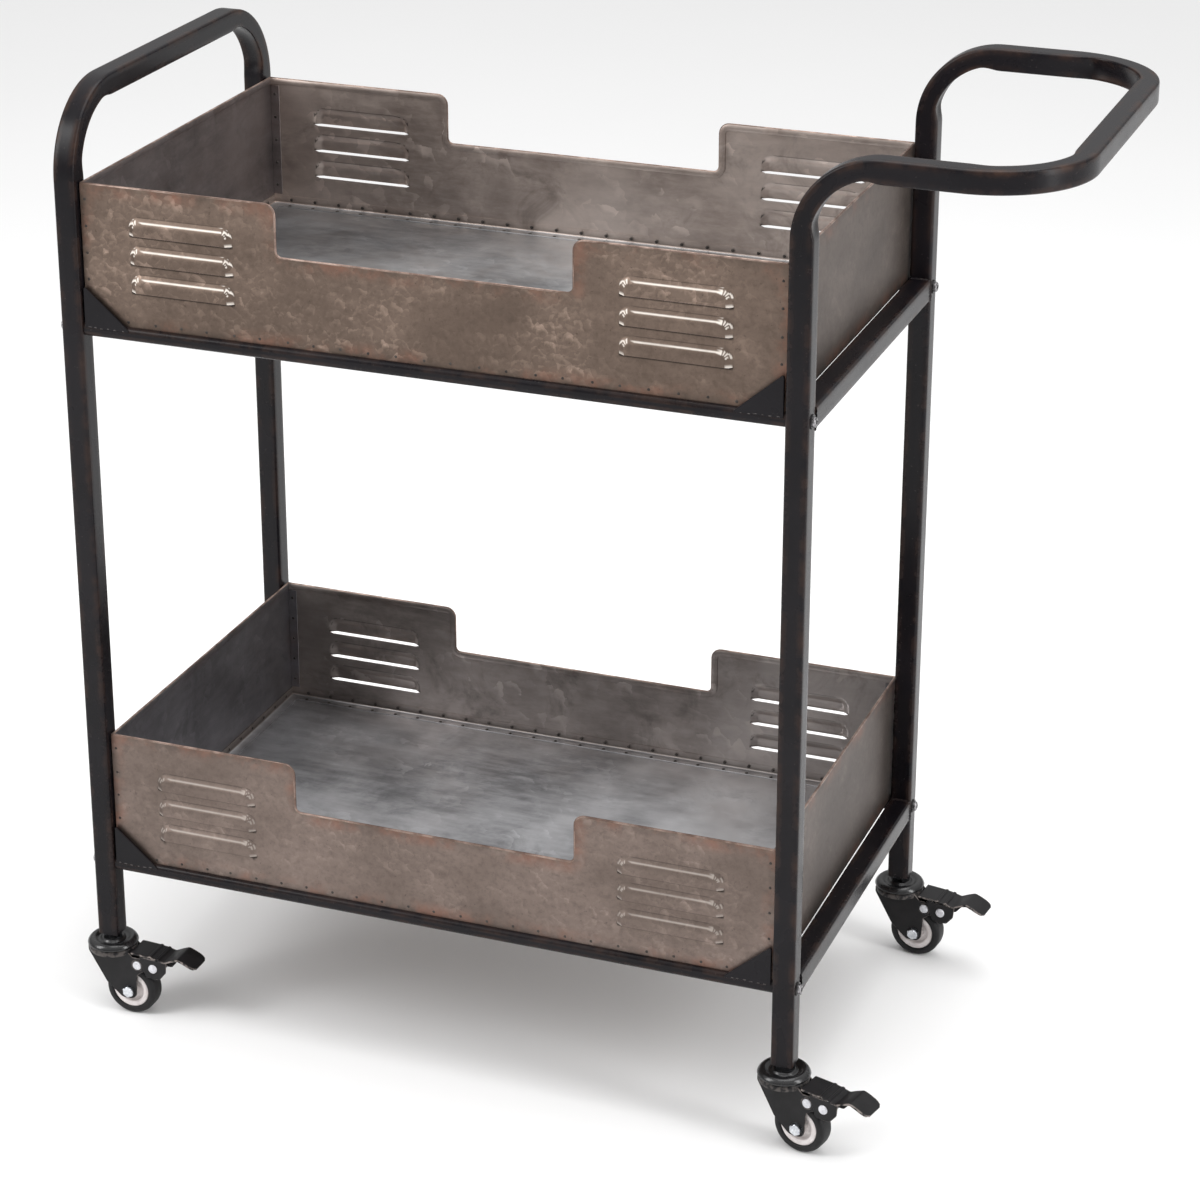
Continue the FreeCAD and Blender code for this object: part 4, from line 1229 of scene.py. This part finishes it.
def make_wheel(corner):
    w, r = WHEEL_HALF_WIDTH, WHEEL_RADIUS
    face = w - 1.2
    tyre = [(TYRE_INNER, w - 1.2), (TYRE_INNER + 0.4, w - 0.5), (TYRE_INNER + 1.4, w - 0.05), (r - 4.2, w),
            (r - 2.6, w - 0.35), (r - 1.2, w - 1.2), (r - 0.35, w - 2.6), (r, w - 4.3), (r, 0.35), (r, 0.15)]
    hub = [(3.1, w + 0.4), (6.4, w + 0.4), (6.9, w), (7.0, 3.4), (7.6, 3.0), (11.9, 3.0), (12.5, 3.6),
           (12.6, face - 0.7), (13.1, face - 0.1), (14.0, face + 0.12), (16.6, face + 0.12),
           (17.5, face - 0.15), (TYRE_INNER, face - 0.6)]
    for half, piece, material, slot, node, sharp in (
            (tyre, "_rubber_tyre", RUBBER, "tyre_black", "_tyre", 60.0),
            (hub, "_hub", HUB, "hub_white", "_wheel_hub", 50.0)):
        shape = Shape()
        profile = half + [(radius, -height) for radius, height in reversed(half)]
        lathe(shape, profile[::-1], (TRAIL, 0, r), "Y", 72, caster_move(corner))
        shape.finish(corner + piece, corner + "_wheel", [material], slot, [corner + node], sharp=sharp)


def tread_points():
    """Rows of points over a pedal's tread plate, the upper side first, and the rows on each side."""
    top = [(24.4, 67.3), (30.0, 67.1), (36.0, 66.8), (42.6, 66.45), (43.4, 67.1), (45.2, 67.0),
           (46.0, 65.9), (50.6, 65.5), (51.4, 66.1), (53.0, 65.9), (53.8, 64.6), (58.2, 63.6),
           (59.6, 63.8), (65.5, 66.6), (71.4, 69.0), (72.8, 69.2), (74.2, 69.0), (79.0, 67.2),
           (84.0, 64.9), (87.0, 63.3), (89.0, 62.2), (90.6, 61.3)]
    thickness = 1.9
    corner_radius = 7.0
    rows = len(top)
    verts = []
    for side in (0, 1):
        for index, (x, z) in enumerate(top):
            before, after = Vector(top[max(index - 1, 0)]), Vector(top[min(index + 1, rows - 1)])
            along = (after - before).normalized()
            normal = Vector((-along.y, along.x))
            deep = thickness * (1.35 if x > 66 else 1.0)
            place = Vector((x, z)) - normal * (deep if side else 0.0)
            past = max(0.0, x - (top[-1][0] - corner_radius))
            narrow = corner_radius - math.sqrt(max(0.0, corner_radius ** 2 - past ** 2))
            half = PEDAL_HALF_WIDTH - narrow * 0.75
            for k in range(TREAD_CELLS + 1):
                share = 2 * k / TREAD_CELLS - 1
                share = math.copysign(abs(share) ** 0.55, share)
                y = half * share
                soft = 0.4 * max(0.0, abs(share) - 0.93) / 0.07
                verts.append((place.x, y, place.y + (soft if side else -soft)))
    return verts, rows


def two_sided_faces(rows, width):
    """Faces over two layers of rows x width points, and around their four edges."""
    total = rows * width
    faces = []
    for quad in grid(rows, width, turned=True):
        faces += [quad, [total + v for v in quad[::-1]]]
    for k in range(width - 1):
        faces.append([total + k, k, k + 1, total + k + 1][::-1])
        a = (rows - 1) * width + k
        faces.append([a, a + 1, total + a + 1, total + a][::-1])
    for i in range(rows - 1):
        a, b = i * width, (i + 1) * width
        faces.append([a, total + a, total + b, b])
        a, b = a + width - 1, b + width - 1
        faces.append([a, b, total + b, total + a])
    return faces


def make_pedal(corner):
    """Tread plate with two pressed steps and a cranked tip, and the ears it turns on."""
    move = caster_move(corner)
    keep = CAP_RADIUS + 0.8

    def clear_of_cap(v):
        if math.hypot(v[0], v[1]) < keep:
            v = (math.sqrt(max(0.0, keep ** 2 - v[1] ** 2)), v[1], v[2])
        return move(v)

    verts, rows = tread_points()
    width = TREAD_CELLS + 1
    rims = [1.0 if k in (0, TREAD_CELLS) else 0.0 for _ in range(2 * rows) for k in range(width)]
    shape = Shape()
    shape.add(verts, two_sided_faces(rows, width), 0, wear=rims, move=clear_of_cap)
    ear = rounded_outline([(33.0, 64.4, 0.5), (39.5, 44.0, 2.5), (53.5, 44.0, 4.0), (60.0, 52.0, 3.0),
                           (61.0, 62.6, 0.5)], 5)
    inner = PEDAL_HALF_WIDTH - 1.4
    for y_low in (-PEDAL_HALF_WIDTH, inner):
        plate(shape, ear, y_low, y_low + 1.4, 0.35, 0, move)
    toe = rounded_outline([(43.0, 40.3, 0.8), (48.0, 40.3, 0.8), (48.6, 46.2, 0.5), (43.0, 46.2, 0.5)], 3)
    plate(shape, toe, -WHEEL_HALF_WIDTH, WHEEL_HALF_WIDTH, 0.3, 0, move)
    bar = rounded_outline([(43.0, 44.2, 0.4), (49.0, 44.2, 0.4), (49.0, 46.4, 0.4), (43.0, 46.4, 0.4)], 2)
    plate(shape, bar, -inner, inner, 0.2, 0, move)
    shape.finish(corner + "_pedal_plate", corner + "_pedal", [BLACK_FORK], "caster_black",
                 [corner + "_brake_pedal"], sharp=22.0)


def make_casters():
    make_caps()
    for corner in LEGS:
        make_fork(corner)
        make_fasteners(corner)
        make_wheel(corner)
        make_pedal(corner)


# ---- small parts carried over from the CAD ----

def finish_cad_nodes():
    kept = {
        "rail_bolts": BOLT_HEAD,
        "bolt_washers": BLACKENED,
        "rail_end_inserts": BLACKENED,
        "leg_end_plugs": PLUG,
        "caster_stems": ZINC,
        "caster_lock_nuts": DARK_ZINC,
        "swivel_ball_races": ZINC,
    }
    for node, material in kept.items():
        mesh = frame["nodes"][node].data
        mesh.materials.clear()
        mesh.materials.append(material)


# ---- studio ----

def make_studio():
    scene = bpy.context.scene
    scene.view_settings.view_transform = "Standard"
    ground = bpy.data.meshes.new("studio_floor")
    size = 30.0
    square = [(-size, -size, 0), (size, -size, 0), (size, size, 0), (-size, size, 0)]
    ground.from_pydata(square, [], [[0, 1, 2, 3]])
    obj = bpy.data.objects.new("studio_floor", ground)
    scene.collection.objects.link(obj)
    g = Graph("studio_floor", (0.86, 0.86, 0.86))
    g.layer(g.noise(0.8, 3.0), (0.9, 0.9, 0.9))
    ground.materials.append(g.done(roughness=0.75, specular=0.2))
    world = bpy.data.worlds.new("studio")
    world.use_nodes = True
    tree = world.node_tree
    direction = tree.nodes.new("ShaderNodeTexCoord").outputs["Generated"]
    parts = tree.nodes.new("ShaderNodeSeparateXYZ")
    tree.links.new(direction, parts.inputs["Vector"])
    sky = tree.nodes.new("ShaderNodeMapRange")
    sky.interpolation_type = "SMOOTHSTEP"
    for socket, value in (("From Min", -0.05), ("From Max", 0.85), ("To Min", 0.3), ("To Max", 1.0)):
        sky.inputs[socket].default_value = value
    tree.links.new(parts.outputs["Z"], sky.inputs["Value"])
    tree.links.new(sky.outputs["Result"], tree.nodes["Background"].inputs["Strength"])
    tree.nodes["Background"].inputs["Color"].default_value = (1.0, 1.0, 1.0, 1.0)
    scene.world = world
    centre = (cad_low + cad_high) / 2
    lamps = [
        ("top", (0.2, 0.1, 2.7), (2.2, 2.0), 42.0),
        ("right", (2.6, -0.5, 1.3), (0.6, 2.2), 38.0),
        ("left", (-2.0, -1.7, 1.9), (1.0, 1.8), 42.0),
    ]
    for name, place, (width, height), power in lamps:
        lamp = bpy.data.lights.new(name + "_softbox", "AREA")
        lamp.shape = "RECTANGLE"
        lamp.size, lamp.size_y = width, height
        lamp.energy = power
        holder = bpy.data.objects.new(name + "_softbox", lamp)
        holder.location = Vector(place)
        holder.rotation_mode = "QUATERNION"
        holder.rotation_quaternion = (centre - Vector(place)).to_track_quat("-Z", "Y")
        scene.collection.objects.link(holder)


def make_camera():
    data = bpy.data.cameras.new("camera")
    data.sensor_width = 36.0
    data.lens = CAMERA_LENS
    data.shift_x, data.shift_y = CAMERA_SHIFT
    data.clip_end = 100.0
    camera = bpy.data.objects.new("camera", data)
    level = math.cos(CAMERA_PITCH)
    ahead = Vector((-math.sin(CAMERA_YAW) * level, math.cos(CAMERA_YAW) * level, -math.sin(CAMERA_PITCH)))
    camera.location = to_row(CAMERA_PLACE)
    camera.rotation_mode = "QUATERNION"
    camera.rotation_quaternion = ahead.to_track_quat("-Z", "Y")
    bpy.context.scene.collection.objects.link(camera)
    bpy.context.scene.camera = camera


make_frame()
make_trays()
make_casters()
finish_cad_nodes()
make_studio()
make_camera()
